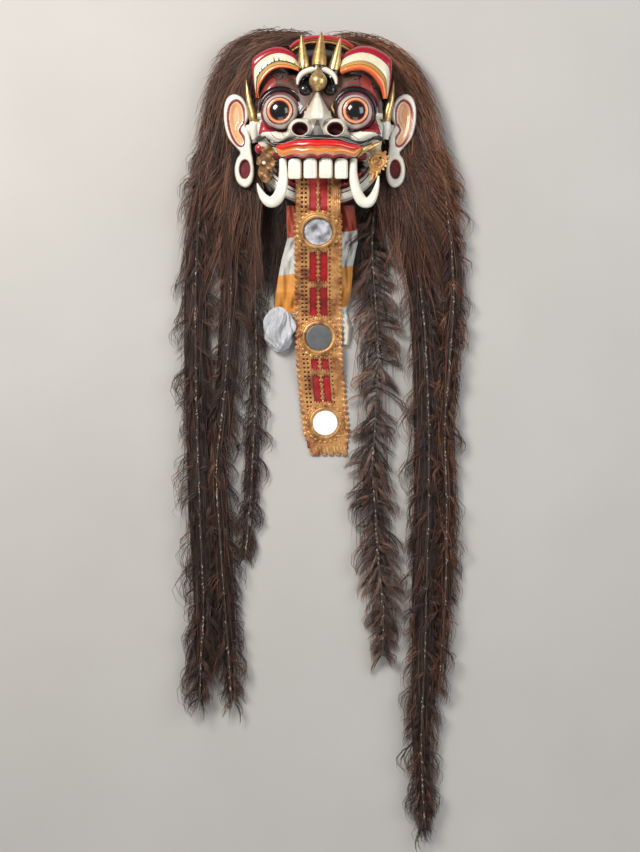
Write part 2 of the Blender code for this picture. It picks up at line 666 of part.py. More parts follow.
def tongue_drift(distance):
    for (start, x0), (end, x1) in zip(TONGUE_DRIFT, TONGUE_DRIFT[1:]):
        if distance <= end:
            return x0 + (x1 - x0) * (distance - start) / (end - start)
    return TONGUE_DRIFT[-1][1]


def tongue_point(distance, across, lift):
    y, z, slope = tongue_middle(distance)
    return Vector((tongue_drift(distance) + across, y + lift * math.sin(-slope), z + lift * math.cos(slope)))


def mirror_distances():
    legs = [length for length, turn in tongue_legs()]
    starts = [sum(legs[:i]) for i in range(len(legs))]
    return (
        starts[2] + MIRROR_RADII[0] + FRAME_RIM + GAP,
        starts[4] + 0.52 * MIDDLE_RUN,
        starts[8] + 0.45 * END_RUN,
    )


def strip(name, finish, half_columns, lift, thickness, stations, windows, scallop):
    # A bent strip: a grid of the underside, raised everywhere by the thickness
    end = tongue_length()
    bm = bmesh.new()
    slopes = bm.verts.layers.float.new("slope")
    rows = []
    for i in range(stations + 1):
        distance = end * i / TONGUE_STATIONS
        edge = scallop * (i % 2)
        taper = min(1.0, 0.66 + 0.09 * (stations - i))
        offsets = [-c for c in reversed(half_columns)] + list(half_columns)
        offsets[0] = offsets[0] * taper + edge
        offsets[-1] = offsets[-1] * taper - edge
        row = [bm.verts.new(tongue_point(distance, c, lift)) for c in offsets]
        for vert in row:
            vert[slopes] = tongue_middle(distance)[2]
        rows.append(row)
    mirrors = list(zip(mirror_distances(), MIRROR_RADII))
    for i in range(stations):
        middle = end * (i + 0.5) / TONGUE_STATIONS
        pierced = windows and i % 8 and 5 < i < stations - 6 and not any(
            abs(middle - distance) < radius + FRAME_RIM for distance, radius in mirrors)
        for k in range(len(rows[0]) - 1):
            if not (pierced and k in (1, 3)):
                bm.faces.new((rows[i][k], rows[i + 1][k], rows[i + 1][k + 1], rows[i][k + 1]))
    for vert in [v for v in bm.verts if not v.link_faces]:
        bm.verts.remove(vert)
    raised = bmesh.ops.extrude_face_region(bm, geom=bm.faces[:], use_keep_orig=True)
    for vert in [v for v in raised["geom"] if isinstance(v, bmesh.types.BMVert)]:
        vert.co += thickness * Vector((0.0, -math.sin(vert[slopes]), math.cos(vert[slopes])))
    bmesh.ops.recalc_face_normals(bm, faces=bm.faces)
    return placed(name, bm, finish)


def build_tongue(leather, red):
    strip("tongue_cloth", red, (TONGUE_CLOTH_WIDTH / 2,), 0.0, TONGUE_CLOTH_THICKNESS, TONGUE_STATIONS - 1,
          False, 0.0)
    columns = (RIB_WIDTH / 2, RIB_WIDTH / 2 + WINDOW_WIDTH, TONGUE_WIDTH / 2)
    strip("tongue_leather", leather, columns, TONGUE_CLOTH_THICKNESS + GAP, LEATHER_THICKNESS, TONGUE_STATIONS,
          True, 0.003)


def build_mirrors(gilt, glass):
    for i, (distance, radius) in enumerate(zip(mirror_distances(), MIRROR_RADII)):
        lift = TONGUE_CLOTH_THICKNESS + LEATHER_THICKNESS + 2 * GAP
        slope = tongue_middle(distance)[2]
        place = Matrix.Translation(tongue_point(distance, 0.0, lift)) @ Matrix.Rotation(slope, 4, "X")
        outer = radius + FRAME_RIM
        # A ring whose back is closed by a thin web under the glass
        section = [(radius - 0.003, 0.0), (outer, 0.0), (outer - 0.002, 0.4 * FRAME_HEIGHT),
                   (outer - 0.007, FRAME_HEIGHT), (radius + 0.002, 0.8 * FRAME_HEIGHT),
                   (radius, MIRROR_SEAT), (radius - 0.003, MIRROR_SEAT)]
        sides = 24
        rings = []
        for k in range(sides):
            angle = 2 * math.pi * k / sides
            c, s = math.cos(angle), math.sin(angle)
            rings.append([Vector((r * c, r * s, z)) for r, z in section])
        frame = placed(f"mirror_frame_{i + 1}", loft(rings, closed=True), gilt)
        frame.matrix_world = place
        seat = MIRROR_SEAT + GAP
        mirror = placed(f"mirror_{i + 1}", turned(((radius - GAP, seat), (radius - GAP, seat + MIRROR_THICKNESS)),
                                                  sides), glass)
        mirror.matrix_world = place


# Scarf and hair

def ground_slab(path, widths, tops, bottoms=None):
    # A low body along a path on the ground: flat below, domed above
    rings = []
    last = len(path) - 1
    for i, (x, y) in enumerate(path):
        bottom = bottoms[i] if bottoms else 0.0
        half, top = widths[i], tops[i] - bottom
        shape = ((-1.0, 0.0), (-0.92, 0.55), (-0.6, 0.92), (0.0, 1.0), (0.6, 0.92), (0.92, 0.55), (1.0, 0.0))
        ahead = Vector(path[min(i + 1, last)]) - Vector(path[max(i - 1, 0)])
        lean = 0.0 if i == 0 else 0.5 * ahead.x / max(-ahead.y, 1e-6)
        rings.append([Vector((x + half * u, y + half * u * lean, bottom + top * w)) for u, w in shape])
    return loft(rings)


def build_scarf(cloth):
    # One wide striped cloth under the tongue, its lower left corner gathered into a knot
    top = NAPE_HEIGHT + SCARF_THICKNESS + GAP
    start = -RIM_HALF_HEIGHT - GAP
    nape_end = start - NAPE_LENGTH
    end = start - SCARF_LENGTH
    stations = [  # y, left edge, right edge, underside, top
        (start, -0.066, 0.060, NAPE_HEIGHT + GAP, top),
        (start - 0.06, -0.084, 0.076, NAPE_HEIGHT + GAP, top),
        (start - 0.12, -0.092, 0.077, NAPE_HEIGHT + GAP, top),
        (nape_end + 0.012, -0.097, 0.074, NAPE_HEIGHT + GAP, top),
        (nape_end - 0.004, -0.097, 0.070, NAPE_HEIGHT + GAP, top - 0.004),
        (nape_end - 0.022, -0.094, 0.068, 0.0, SCARF_THICKNESS),
    ]
    tail = [(nape_end - 0.030, -0.052, 0.068, 0.0, SCARF_THICKNESS),
            (end + 0.02, -0.044, 0.074, 0.0, SCARF_THICKNESS),
            (end, -0.030, 0.070, 0.0, SCARF_THICKNESS)]
    rings = []
    for y, left, right, low, high in stations + tail:
        columns = [left + (right - left) * share for share in (0.0, 0.08, 0.25, 0.42, 0.58, 0.75, 0.92, 1.0)]
        rim = 0.75 * high + 0.25 * low
        upper = [(x, y, rim if x in (left, right) else high) for x in columns]
        lower = [(x, y, low) for x in columns]
        rings.append([Vector(point) for point in lower[::-1] + upper])
    for ring in rings[:1]:
        for point in ring:
            point.y = rim_y(point.x, CURVE_GAP)
    placed("scarf", loft(rings, folded=True), cloth)
    knot_top = nape_end - 0.030 - GAP
    knot = ((knot_top, 0.018, 0.5), (knot_top - 0.014, 0.026, 0.8), (knot_top - 0.036, 0.032, 1.0),
            (knot_top - 0.062, 0.032, 0.9), (knot_top - 0.082, 0.024, 0.6), (knot_top - 0.092, 0.010, 0.25))
    left = -0.0885
    placed("scarf_knot", ground_slab([(left, y) for y, half, share in knot], [half for y, half, share in knot],
                                     [KNOT_HEIGHT * share for y, half, share in knot]), cloth)


def build_band(cord):
    # The woven band that holds the hair, round the rim from ear to ear over the crown
    inner = rim_outline(RIM_HALF_WIDTH + GAP, RIM_HALF_HEIGHT + GAP, 0.0, BAND_STATIONS)
    outer = rim_outline(RIM_HALF_WIDTH + BAND_THICKNESS, RIM_HALF_HEIGHT + BAND_THICKNESS, 0.0, BAND_STATIONS)
    rings = []
    for (x0, y0), (x1, y1) in zip(inner, outer):
        rings.append([Vector((x0, y0, 0.0)), Vector((x1, y1, 0.0)), Vector((x1, y1, 0.85 * BAND_HEIGHT)),
                      Vector((x0, y0, BAND_HEIGHT))])
    placed("hair_band", loft(rings), cord)


CROWN_HAIR = {  # reach of the hair beyond the band at even steps from the end of the band to the parting
    "hair_crown_left": (0.163, 0.142, 0.124, 0.114, 0.107, 0.102, 0.096, 0.078, 0.052, 0.028, 0.010),
    "hair_crown_right": (0.179, 0.158, 0.134, 0.116, 0.100, 0.086, 0.070, 0.052, 0.034, 0.022, 0.010),
}


def build_crown_hair(hair):
    grow = BAND_THICKNESS + GAP
    outline = rim_outline(RIM_HALF_WIDTH + grow, RIM_HALF_HEIGHT + grow, 0.0, BAND_STATIONS)
    half = BAND_STATIONS // 2
    shape = ((0.0, 0.0), (0.0, 0.72), (0.14, 0.95), (0.38, 1.0), (0.66, 0.82), (0.90, 0.42), (1.0, 0.0))
    for name, reaches in CROWN_HAIR.items():
        inner = outline[:half] if name.endswith("right") else outline[::-1][:half]
        rings = []
        for i, (x, y) in enumerate(inner):
            step = i / (half - 1) * (len(reaches) - 1)
            k = min(int(step), len(reaches) - 2)
            reach = reaches[k] + (reaches[k + 1] - reaches[k]) * (step - k)
            out = Vector((x / RIM_HALF_WIDTH ** 2, max(y, 0.0) / RIM_HALF_HEIGHT ** 2, 0.0)).normalized()
            blend = max(0.0, y / RIM_HALF_HEIGHT) ** 2
            height = CROWN_SIDE_HEIGHT + (CROWN_HEIGHT - CROWN_SIDE_HEIGHT) * blend
            rings.append([Vector((x, y, 0.0)) + out * (reach * u) + UP * (height * w) for u, w in shape])
        placed(name, loft(rings), hair)


LOCKS = {  # share of the hair length, x, half width and share of the lock height
    "lock_left_outer": ((0.0, -0.2455, 0.033, 1.0), (0.10, -0.259, 0.036, 0.95), (0.22, -0.265, 0.038, 0.9),
                        (0.36, -0.264, 0.038, 0.9), (0.50, -0.258, 0.037, 0.85), (0.62, -0.256, 0.036, 0.8),
                        (0.70, -0.250, 0.027, 0.7), (0.745, -0.244, 0.014, 0.5), (0.775, -0.240, 0.004, 0.2)),
    "lock_left_middle": ((0.0, -0.1800, 0.030, 1.0), (0.10, -0.190, 0.031, 0.95), (0.22, -0.194, 0.031, 0.9),
                         (0.36, -0.193, 0.031, 0.9), (0.50, -0.189, 0.030, 0.85), (0.62, -0.187, 0.031, 0.8),
                         (0.70, -0.186, 0.027, 0.7), (0.76, -0.180, 0.015, 0.5), (0.79, -0.178, 0.004, 0.2)),
    "lock_right_front": ((0.0, 0.1340, 0.028, 0.9), (0.08, 0.134, 0.028, 0.85), (0.17, 0.128, 0.027, 0.8),
                         (0.25, 0.132, 0.030, 0.75), (0.36, 0.126, 0.032, 0.7), (0.50, 0.122, 0.032, 0.7),
                         (0.62, 0.131, 0.032, 0.65), (0.70, 0.130, 0.026, 0.5), (0.745, 0.124, 0.006, 0.2)),
    "lock_right_long": ((0.0, 0.2020, 0.036, 1.0), (0.10, 0.208, 0.040, 0.95), (0.22, 0.222, 0.050, 0.9),
                        (0.31, 0.236, 0.058, 0.9), (0.44, 0.240, 0.060, 0.9), (0.58, 0.238, 0.056, 0.85),
                        (0.70, 0.238, 0.050, 0.8), (0.80, 0.232, 0.034, 0.7), (0.88, 0.222, 0.020, 0.55),
                        (0.95, 0.218, 0.012, 0.4), (1.0, 0.228, 0.003, 0.15)),
    "lock_right_outer": ((0.0, 0.2670, 0.027, 1.0), (0.07, 0.280, 0.026, 0.95), (0.14, 0.292, 0.023, 0.85),
                         (0.20, 0.302, 0.018, 0.7), (0.245, 0.309, 0.011, 0.45), (0.27, 0.313, 0.004, 0.2)),
}


def build_locks(hair):
    for name, rows in LOCKS.items():
        dense = smooth_through(rows, 2)
        path = [(x, HAIR_START - GAP - share * HAIR_LENGTH) for share, x, half, high in dense]
        placed(name, ground_slab(path, [row[2] for row in dense], [LOCK_HEIGHT * row[3] for row in dense]), hair)


def build_nape(hair):
    # Short dense hair behind the chin, and one thin lock that leaves it on the left
    start = -RIM_HALF_HEIGHT - GAP
    end = start - NAPE_LENGTH
    left, right = -0.150, 0.098
    columns = 12
    outline = []
    for i in range(columns + 1):
        x = left + (right - left) * i / columns
        grow = BAND_THICKNESS + CURVE_GAP if abs(x) > 0.08 else CURVE_GAP
        outline.append((x, min(rim_y(x, grow), HAIR_START - 0.02)))
    outline += [(right, end), (left, end)]
    placed("hair_nape", plate(outline, 0.0, NAPE_HEIGHT), hair)
    rows = ((0.0, 0.0160, 1.0), (0.12, 0.0160, 1.4), (0.26, 0.0155, 1.4), (0.40, 0.0145, 1.2), (0.50, 0.0100, 0.8),
            (0.56, 0.003, 0.3))
    dense = smooth_through(rows, 2)
    placed("lock_left_back", ground_slab([(-0.140, end - GAP - row[0]) for row in dense],
                                         [row[1] for row in dense], [NAPE_HEIGHT * row[2] for row in dense]), hair)


def stand_at_origin():
    # The origin is the middle of the underside of everything
    bpy.context.view_layer.update()
    graph = bpy.context.evaluated_depsgraph_get()
    lows, highs = [], []
    pieces = [obj for obj in bpy.data.objects if obj.type == "MESH" and not obj.hide_render]
    for obj in pieces:
        shape = obj.evaluated_get(graph)
        corners = [shape.matrix_world @ vert.co for vert in shape.data.vertices]
        lows.append([min(c[k] for c in corners) for k in range(3)])
        highs.append([max(c[k] for c in corners) for k in range(3)])
    low = [min(row[k] for row in lows) for k in range(3)]
    high = [max(row[k] for row in highs) for k in range(3)]
    centre = bpy.data.objects.new("dance_mask", None)
    bpy.context.scene.collection.objects.link(centre)
    for obj in bpy.data.objects:
        if obj.type == "MESH":
            obj.parent = centre
    centre.location = (-(low[0] + high[0]) / 2, -(low[1] + high[1]) / 2, -low[2])


def main():
    clear_scene()
    white = material("painted_wood", (0.80, 0.78, 0.70), 0.35)
    ivory = material("ivory_paint", (0.84, 0.82, 0.74), 0.30)
    gilt = material("gilding", (0.62, 0.42, 0.14), 0.35, 0.9)
    gilt_leather = material("gilded_leather", (0.66, 0.45, 0.18), 0.45, 0.6)
    red = material("red_cloth", (0.55, 0.01, 0.02), 0.45)
    glass = material("mirror_glass", (0.82, 0.84, 0.86), 0.05, 1.0)
    silk = material("striped_silk", (0.86, 0.42, 0.12), 0.5)
    cord = material("woven_band", (0.10, 0.05, 0.03), 0.8)
    hair = material("dark_hair", (0.07, 0.035, 0.022), 0.6)
    build_mask(white)
    for side, flip in (("left", True), ("right", False)):
        build_ear(side, flip, ivory)
    build_teeth(ivory)
    build_tusks(ivory)
    build_spikes(gilt)
    build_horns(gilt)
    build_drop(gilt)
    build_ornaments(gilt_leather)
    build_tongue(gilt_leather, red)
    build_mirrors(gilt, glass)
    build_scarf(silk)
    build_band(cord)
    build_crown_hair(hair)
    build_locks(hair)
    build_nape(hair)
    stand_at_origin()


main()
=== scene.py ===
# Dresses the dance mask: carved and painted face, gilded leather tongue with mirrors, scarf and hair.
import math
import bpy
import bmesh
import numpy as np
from mathutils import Matrix, Vector


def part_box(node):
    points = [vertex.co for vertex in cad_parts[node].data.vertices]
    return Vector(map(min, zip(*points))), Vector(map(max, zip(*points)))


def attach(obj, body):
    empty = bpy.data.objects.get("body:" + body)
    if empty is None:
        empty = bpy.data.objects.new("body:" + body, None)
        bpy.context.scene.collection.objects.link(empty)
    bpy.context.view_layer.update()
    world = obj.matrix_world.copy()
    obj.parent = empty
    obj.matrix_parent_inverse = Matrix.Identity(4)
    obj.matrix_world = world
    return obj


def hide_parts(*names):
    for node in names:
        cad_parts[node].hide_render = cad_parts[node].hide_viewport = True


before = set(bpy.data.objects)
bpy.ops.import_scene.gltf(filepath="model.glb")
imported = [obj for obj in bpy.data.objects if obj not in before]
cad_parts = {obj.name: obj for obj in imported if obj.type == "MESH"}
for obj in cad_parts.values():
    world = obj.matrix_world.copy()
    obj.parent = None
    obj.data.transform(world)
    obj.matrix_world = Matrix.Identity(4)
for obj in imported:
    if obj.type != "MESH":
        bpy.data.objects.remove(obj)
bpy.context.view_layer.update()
dice = np.random.default_rng(11)

# Layout: design metres, the middle of the face at 0, 0, as in the part's own source
toothLow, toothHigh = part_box("tooth_1")
shift = Vector((toothLow.x + 0.06655, toothHigh.y + 0.0863, 0.0))
view = {"height": 4.0, "focal": 1843.0, "midY": -0.6433, "pixel": 0.00215}  # camera over the mask as it lies


def at(px, py, z):
    scale = (view["height"] - z) / view["focal"]
    return ((px - 320) * scale, view["midY"] + (426 - py) * scale, z)


def smooth(rows, steps=6):
    # Catmull-Rom through rows of numbers
    rows = np.array(rows, float)
    ends = np.vstack([2 * rows[:1] - rows[1:2], rows, 2 * rows[-1:] - rows[-2:-1]])
    out = []
    for i in range(1, len(ends) - 2):
        a, b, c, d = ends[i - 1:i + 3]
        for t in np.arange(steps) / steps:
            out.append(0.5 * (2 * b + (c - a) * t + (2 * a - 5 * b + 4 * c - d) * t ** 2
                              + (3 * b - a - 3 * c + d) * t ** 3))
    return np.array(out + [rows[-1]])


def along(rows, t):
    # The row at share t of a dense list
    place = min(max(t, 0.0), 1.0) * (len(rows) - 1)
    i = min(int(place), len(rows) - 2)
    return rows[i] + (rows[i + 1] - rows[i]) * (place - i)


# Pieces

def keep(name, bm, material, replaced=(), wall=0.0, soften=0, angle=40.0):
    # Puts a bmesh in the scene as a finished piece that rides with the mask
    mesh = bpy.data.meshes.new(name)
    bm.to_mesh(mesh)
    bm.free()
    obj = bpy.data.objects.new(name, mesh)
    bpy.context.scene.collection.objects.link(obj)
    return finished(obj, material, replaced, wall, soften, angle)


def finished(obj, material, replaced=(), wall=0.0, soften=0, angle=40.0):
    obj.data.materials.clear()
    obj.data.materials.append(material)
    if wall:
        solid = obj.modifiers.new("wall", "SOLIDIFY")
        solid.thickness = wall
        solid.offset = -1.0
    if soften:
        fine = obj.modifiers.new("softened", "SUBSURF")
        fine.levels = fine.render_levels = soften
    obj.data.shade_smooth()
    obj.data.set_sharp_from_angle(angle=math.radians(angle))
    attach(obj, "root")
    if replaced:
        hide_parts(*replaced)
    return obj


def grid(columns, rows, place, join=False, cap=False):
    # A sheet of cells whose two coordinates, 0 to 1, are also its UV map
    bm = bmesh.new()
    bm.loops.layers.uv.new("UVMap")
    bmesh.ops.create_grid(bm, x_segments=columns, y_segments=rows, size=0.5, calc_uvs=True)
    for vert in bm.verts:
        vert.co = Vector(place(vert.co.x + 0.5, vert.co.y + 0.5)) + shift
    if join:
        bmesh.ops.remove_doubles(bm, verts=bm.verts, dist=2e-6)
    if cap:
        bmesh.ops.holes_fill(bm, edges=[e for e in bm.edges if e.is_boundary], sides=0)
    bmesh.ops.recalc_face_normals(bm, faces=bm.faces)
    return bm


def upward(bm):
    # Faces of an open sheet turned to +Z
    if sum(face.normal.z * face.calc_area() for face in bm.faces) < 0:
        bmesh.ops.reverse_faces(bm, faces=bm.faces)
    return bm


def rope(rows, sides=12, steps=8):
    # A tapered tube; rows hold x, y, z, half width, half height
    dense = smooth(rows, steps)
    tangents = np.gradient(dense[:, :3], axis=0)

    def place(u, v):
        row, direction = along(dense, v), along(tangents, v)
        aside = np.cross((0, 0, 1), direction)
        aside /= max(np.linalg.norm(aside), 1e-9)
        above = np.cross(direction, aside)
        above /= max(np.linalg.norm(above), 1e-9)
        turn = 2 * math.pi * u
        return row[:3] + aside * row[3] * math.cos(turn) + above * row[4] * math.sin(turn)
    return grid(sides, (len(dense) - 1), place, join=True, cap=True)


def turnedForm(profile, centre, sides=48, matrix=None):
    # A lathe form: profile holds radius and height, centre in design metres
    dense = smooth(profile, 4)
    matrix = matrix or Matrix.Identity(3)

    def place(u, v):
        r, h = along(dense, v)
        turn = 2 * math.pi * u
        return Vector(centre) + matrix @ Vector((r * math.cos(turn), r * math.sin(turn), h))
    return grid(sides, len(dense) - 1, place, join=True, cap=True)


def joined(name, forms):
    # Several bmeshes as one
    whole = bmesh.new()
    for bm in forms:
        part = bpy.data.meshes.new(name)
        bm.to_mesh(part)
        bm.free()
        whole.from_mesh(part)
        bpy.data.meshes.remove(part)
    return whole


# Shader groups and materials

def socketed(name, inputs, outputs):
    group = bpy.data.node_groups.new(name, "ShaderNodeTree")
    for label, kind, value in inputs:
        socket = group.interface.new_socket(label, in_out="INPUT", socket_type=kind)
        socket.default_value = value
    for label, kind in outputs:
        group.interface.new_socket(label, in_out="OUTPUT", socket_type=kind)
    return group, group.nodes.new("NodeGroupInput"), group.nodes.new("NodeGroupOutput")


def node(tree, kind, **values):
    made = tree.nodes.new(kind)
    for key, value in values.items():
        if key.startswith("in_"):
            name = key[3:]
            made.inputs[int(name) if name.isdigit() else name].default_value = value
        else:
            setattr(made, key, value)
    return made


def ramp(tree, source, stops, mode="LINEAR"):
    made = tree.nodes.new("ShaderNodeValToRGB")
    made.color_ramp.interpolation = mode
    elements = made.color_ramp.elements
    while len(elements) > 1:
        elements.remove(elements[-1])
    for i, (place, colour) in enumerate(stops):
        element = elements[0] if i == 0 else elements.new(place)
        element.position = place
        colour = (colour,) * 3 if isinstance(colour, (int, float)) else colour
        element.color = (*colour, 1.0)
    tree.links.new(source, made.inputs[0])
    return made.outputs[0]


def mixed(tree, factor, first, second, mode="MIX"):
    made = node(tree, "ShaderNodeMix", data_type="RGBA", blend_type=mode)
    for socket, value in ((made.inputs[0], factor), (made.inputs[6], first), (made.inputs[7], second)):
        if isinstance(value, bpy.types.NodeSocket):
            tree.links.new(value, socket)
        else:
            socket.default_value = value if isinstance(value, float) else (*value, 1.0)
    return made.outputs[2]


def buildAgedPaint():
    # Brushed paint on wood: mottling, hairline crackle and grime
    tree, source, out = socketed("agedPaint", [
        ("Colour", "NodeSocketColor", (0.8, 0.8, 0.8, 1)), ("Grime", "NodeSocketFloat", 0.3),
        ("Crackle", "NodeSocketFloat", 0.5), ("Gloss", "NodeSocketFloat", 0.3)],
        [("Colour", "NodeSocketColor"), ("Roughness", "NodeSocketFloat"), ("Height", "NodeSocketFloat")])
    link = tree.links.new
    where = node(tree, "ShaderNodeTexCoord")
    blotch = node(tree, "ShaderNodeTexNoise", in_Scale=34.0, in_Detail=6.0, in_Roughness=0.62)
    brush = node(tree, "ShaderNodeTexNoise", in_Scale=260.0, in_Detail=3.0)
    cells = node(tree, "ShaderNodeTexVoronoi", feature="DISTANCE_TO_EDGE", in_Scale=70.0)
    bend = node(tree, "ShaderNodeTexNoise", in_Scale=90.0)
    for target in (blotch, brush, bend):
        link(where.outputs["Object"], target.inputs["Vector"])
    wobble = node(tree, "ShaderNodeVectorMath", operation="MULTIPLY_ADD")
    wobble.inputs[1].default_value = (0.018, 0.018, 0.018)
    link(bend.outputs["Color"], wobble.inputs[0])
    link(where.outputs["Object"], wobble.inputs[2])
    link(wobble.outputs[0], cells.inputs["Vector"])
    crack = ramp(tree, cells.outputs["Distance"], [(0.0, 1.0), (0.012, 0.0)])
    patch = ramp(tree, blotch.outputs["Fac"], [(0.46, 0.0), (0.66, 1.0)])
    chance = node(tree, "ShaderNodeMath", operation="MULTIPLY")
    link(crack, chance.inputs[0])
    link(patch, chance.inputs[1])
    strength = node(tree, "ShaderNodeMath", operation="MULTIPLY")
    link(chance.outputs[0], strength.inputs[0])
    link(source.outputs["Crackle"], strength.inputs[1])
    dirt = ramp(tree, blotch.outputs["Fac"], [(0.35, 1.0), (0.62, 0.0)])
    dirty = node(tree, "ShaderNodeMath", operation="MULTIPLY")
    link(dirt, dirty.inputs[0])
    link(source.outputs["Grime"], dirty.inputs[1])
    first = mixed(tree, dirty.outputs[0], source.outputs["Colour"], (0.62, 0.54, 0.42), "MULTIPLY")
    second = mixed(tree, strength.outputs[0], first, (0.16, 0.11, 0.08), "MULTIPLY")
    link(second, out.inputs["Colour"])
    shine = node(tree, "ShaderNodeMath", operation="MULTIPLY_ADD")
    shine.inputs[1].default_value = 0.28
    link(brush.outputs["Fac"], shine.inputs[0])
    link(source.outputs["Gloss"], shine.inputs[2])
    link(shine.outputs[0], out.inputs["Roughness"])
    raised = node(tree, "ShaderNodeMath", operation="MULTIPLY_ADD")
    raised.inputs[1].default_value = 0.25
    drop = node(tree, "ShaderNodeMath", operation="MULTIPLY", in_1=-1.0)
    link(strength.outputs[0], drop.inputs[0])
    link(brush.outputs["Fac"], raised.inputs[0])
    link(drop.outputs[0], raised.inputs[2])
    link(raised.outputs[0], out.inputs["Height"])
    return tree


agedPaint = buildAgedPaint()


def emptyMaterial(name):
    made = bpy.data.materials.new(name)
    made.use_nodes = True
    return made, made.node_tree, made.node_tree.nodes["Principled BSDF"]


def paint(name, colour=None, bands=None, axis=1, attribute=None, wobble=0.0, gloss=0.18, grime=0.3,
          crackle=0.4, coat=0.55, bump=0.0006, smoothBands=False):
    # Gloss paint: one colour, bands across the UV map, or zones painted on an attribute
    made, tree, shader = emptyMaterial(name)
    link = tree.links.new
    aged = node(tree, "ShaderNodeGroup", node_tree=agedPaint, in_Grime=grime, in_Crackle=crackle,
                in_Gloss=gloss)
    if bands:
        place = node(tree, "ShaderNodeUVMap", uv_map="UVMap")
        split = node(tree, "ShaderNodeSeparateXYZ")
        link(place.outputs[0], split.inputs[0])
        value = split.outputs[axis]
        where = node(tree, "ShaderNodeTexCoord")
        shake = node(tree, "ShaderNodeTexNoise", in_Scale=55.0, in_Detail=2.0)
        link(where.outputs["Object"], shake.inputs["Vector"])
        add = node(tree, "ShaderNodeMath", operation="MULTIPLY_ADD", in_1=wobble)
        link(shake.outputs["Fac"], add.inputs[0])
        link(value, add.inputs[2])
        sub = node(tree, "ShaderNodeMath", operation="ADD", in_1=-wobble / 2)
        link(add.outputs[0], sub.inputs[0])
        link(ramp(tree, sub.outputs[0], bands, "LINEAR" if smoothBands else "CONSTANT"),
             aged.inputs["Colour"])
    elif attribute:
        zone = node(tree, "ShaderNodeAttribute", attribute_name=attribute)
        link(zone.outputs["Color"], aged.inputs["Colour"])
    else:
        aged.inputs["Colour"].default_value = (*colour, 1.0)
    link(aged.outputs["Colour"], shader.inputs["Base Color"])
    link(aged.outputs["Roughness"], shader.inputs["Roughness"])
    raised = node(tree, "ShaderNodeBump", in_Strength=0.5, in_Distance=bump)
    link(aged.outputs["Height"], raised.inputs["Height"])
    link(raised.outputs[0], shader.inputs["Normal"])
    shader.inputs["Coat Weight"].default_value = coat
    shader.inputs["Coat Roughness"].default_value = 0.12
    return made


def gold(name, bright=(0.76, 0.50, 0.20), dull=(0.30, 0.15, 0.05), rough=0.30, metal=0.85, scale=60.0,
         worn=0.35, emboss=0.0, embossScale=420.0):
    # Leaf gold: bright in places, browned and rubbed through in patches
    made, tree, shader = emptyMaterial(name)
    link = tree.links.new
    where = node(tree, "ShaderNodeTexCoord")
    cloud = node(tree, "ShaderNodeTexNoise", in_Scale=scale, in_Detail=5.0, in_Roughness=0.6)
    speck = node(tree, "ShaderNodeTexNoise", in_Scale=scale * 9, in_Detail=3.0)
    tool = node(tree, "ShaderNodeTexVoronoi", in_Scale=embossScale)
    for target in (cloud, speck, tool):
        link(where.outputs["Object"], target.inputs["Vector"])
    spread = ramp(tree, cloud.outputs["Fac"], [(0.36, dull), (0.36 + worn * 0.5, bright), (0.85, bright)])
    grain = ramp(tree, speck.outputs["Fac"], [(0.3, 0.55), (0.6, 1.0)])
    link(mixed(tree, 0.7, spread, grain, "MULTIPLY"), shader.inputs["Base Color"])
    link(ramp(tree, cloud.outputs["Fac"], [(0.3, rough + 0.25), (0.65, rough)]), shader.inputs["Roughness"])
    height = node(tree, "ShaderNodeMath", operation="MULTIPLY_ADD", in_1=emboss)
    link(tool.outputs["Distance"], height.inputs[0])
    link(speck.outputs["Fac"], height.inputs[2])
    raised = node(tree, "ShaderNodeBump", in_Strength=0.45, in_Distance=0.0008)
    link(height.outputs[0], raised.inputs["Height"])
    link(raised.outputs[0], shader.inputs["Normal"])
    shader.inputs["Metallic"].default_value = metal
    return made


def cloth(name, bands=None, colour=None, axis=1, rough=0.62, weave=1500.0, sheen=0.4, soil=0.3):
    # Woven cloth with threads and uneven dye
    made, tree, shader = emptyMaterial(name)
    link = tree.links.new
    where = node(tree, "ShaderNodeTexCoord")
    dye = node(tree, "ShaderNodeTexNoise", in_Scale=26.0, in_Detail=6.0)
    link(where.outputs["Object"], dye.inputs["Vector"])
    if bands:
        place = node(tree, "ShaderNodeUVMap", uv_map="UVMap")
        split = node(tree, "ShaderNodeSeparateXYZ")
        link(place.outputs[0], split.inputs[0])
        base = ramp(tree, split.outputs[axis], bands)
    else:
        base = colour
    shade = ramp(tree, dye.outputs["Fac"], [(0.3, 1.0 - soil), (0.62, 1.0)])
    link(mixed(tree, 1.0, base, shade, "MULTIPLY"), shader.inputs["Base Color"])
    warp = node(tree, "ShaderNodeTexWave", bands_direction="X", in_Scale=weave / 6.3, in_Distortion=0.6)
    weft = node(tree, "ShaderNodeTexWave", bands_direction="Y", in_Scale=weave / 6.3, in_Distortion=0.6)
    for target in (warp, weft):
        link(where.outputs["Object"], target.inputs["Vector"])
    both = node(tree, "ShaderNodeMath", operation="ADD")
    link(warp.outputs["Fac"], both.inputs[0])
    link(weft.outputs["Fac"], both.inputs[1])
    raised = node(tree, "ShaderNodeBump", in_Strength=0.35, in_Distance=0.0004)
    link(both.outputs[0], raised.inputs["Height"])
    link(raised.outputs[0], shader.inputs["Normal"])
    link(ramp(tree, dye.outputs["Fac"], [(0.3, rough + 0.1), (0.7, rough - 0.08)]),
         shader.inputs["Roughness"])
    shader.inputs["Sheen Weight"].default_value = sheen
    return made


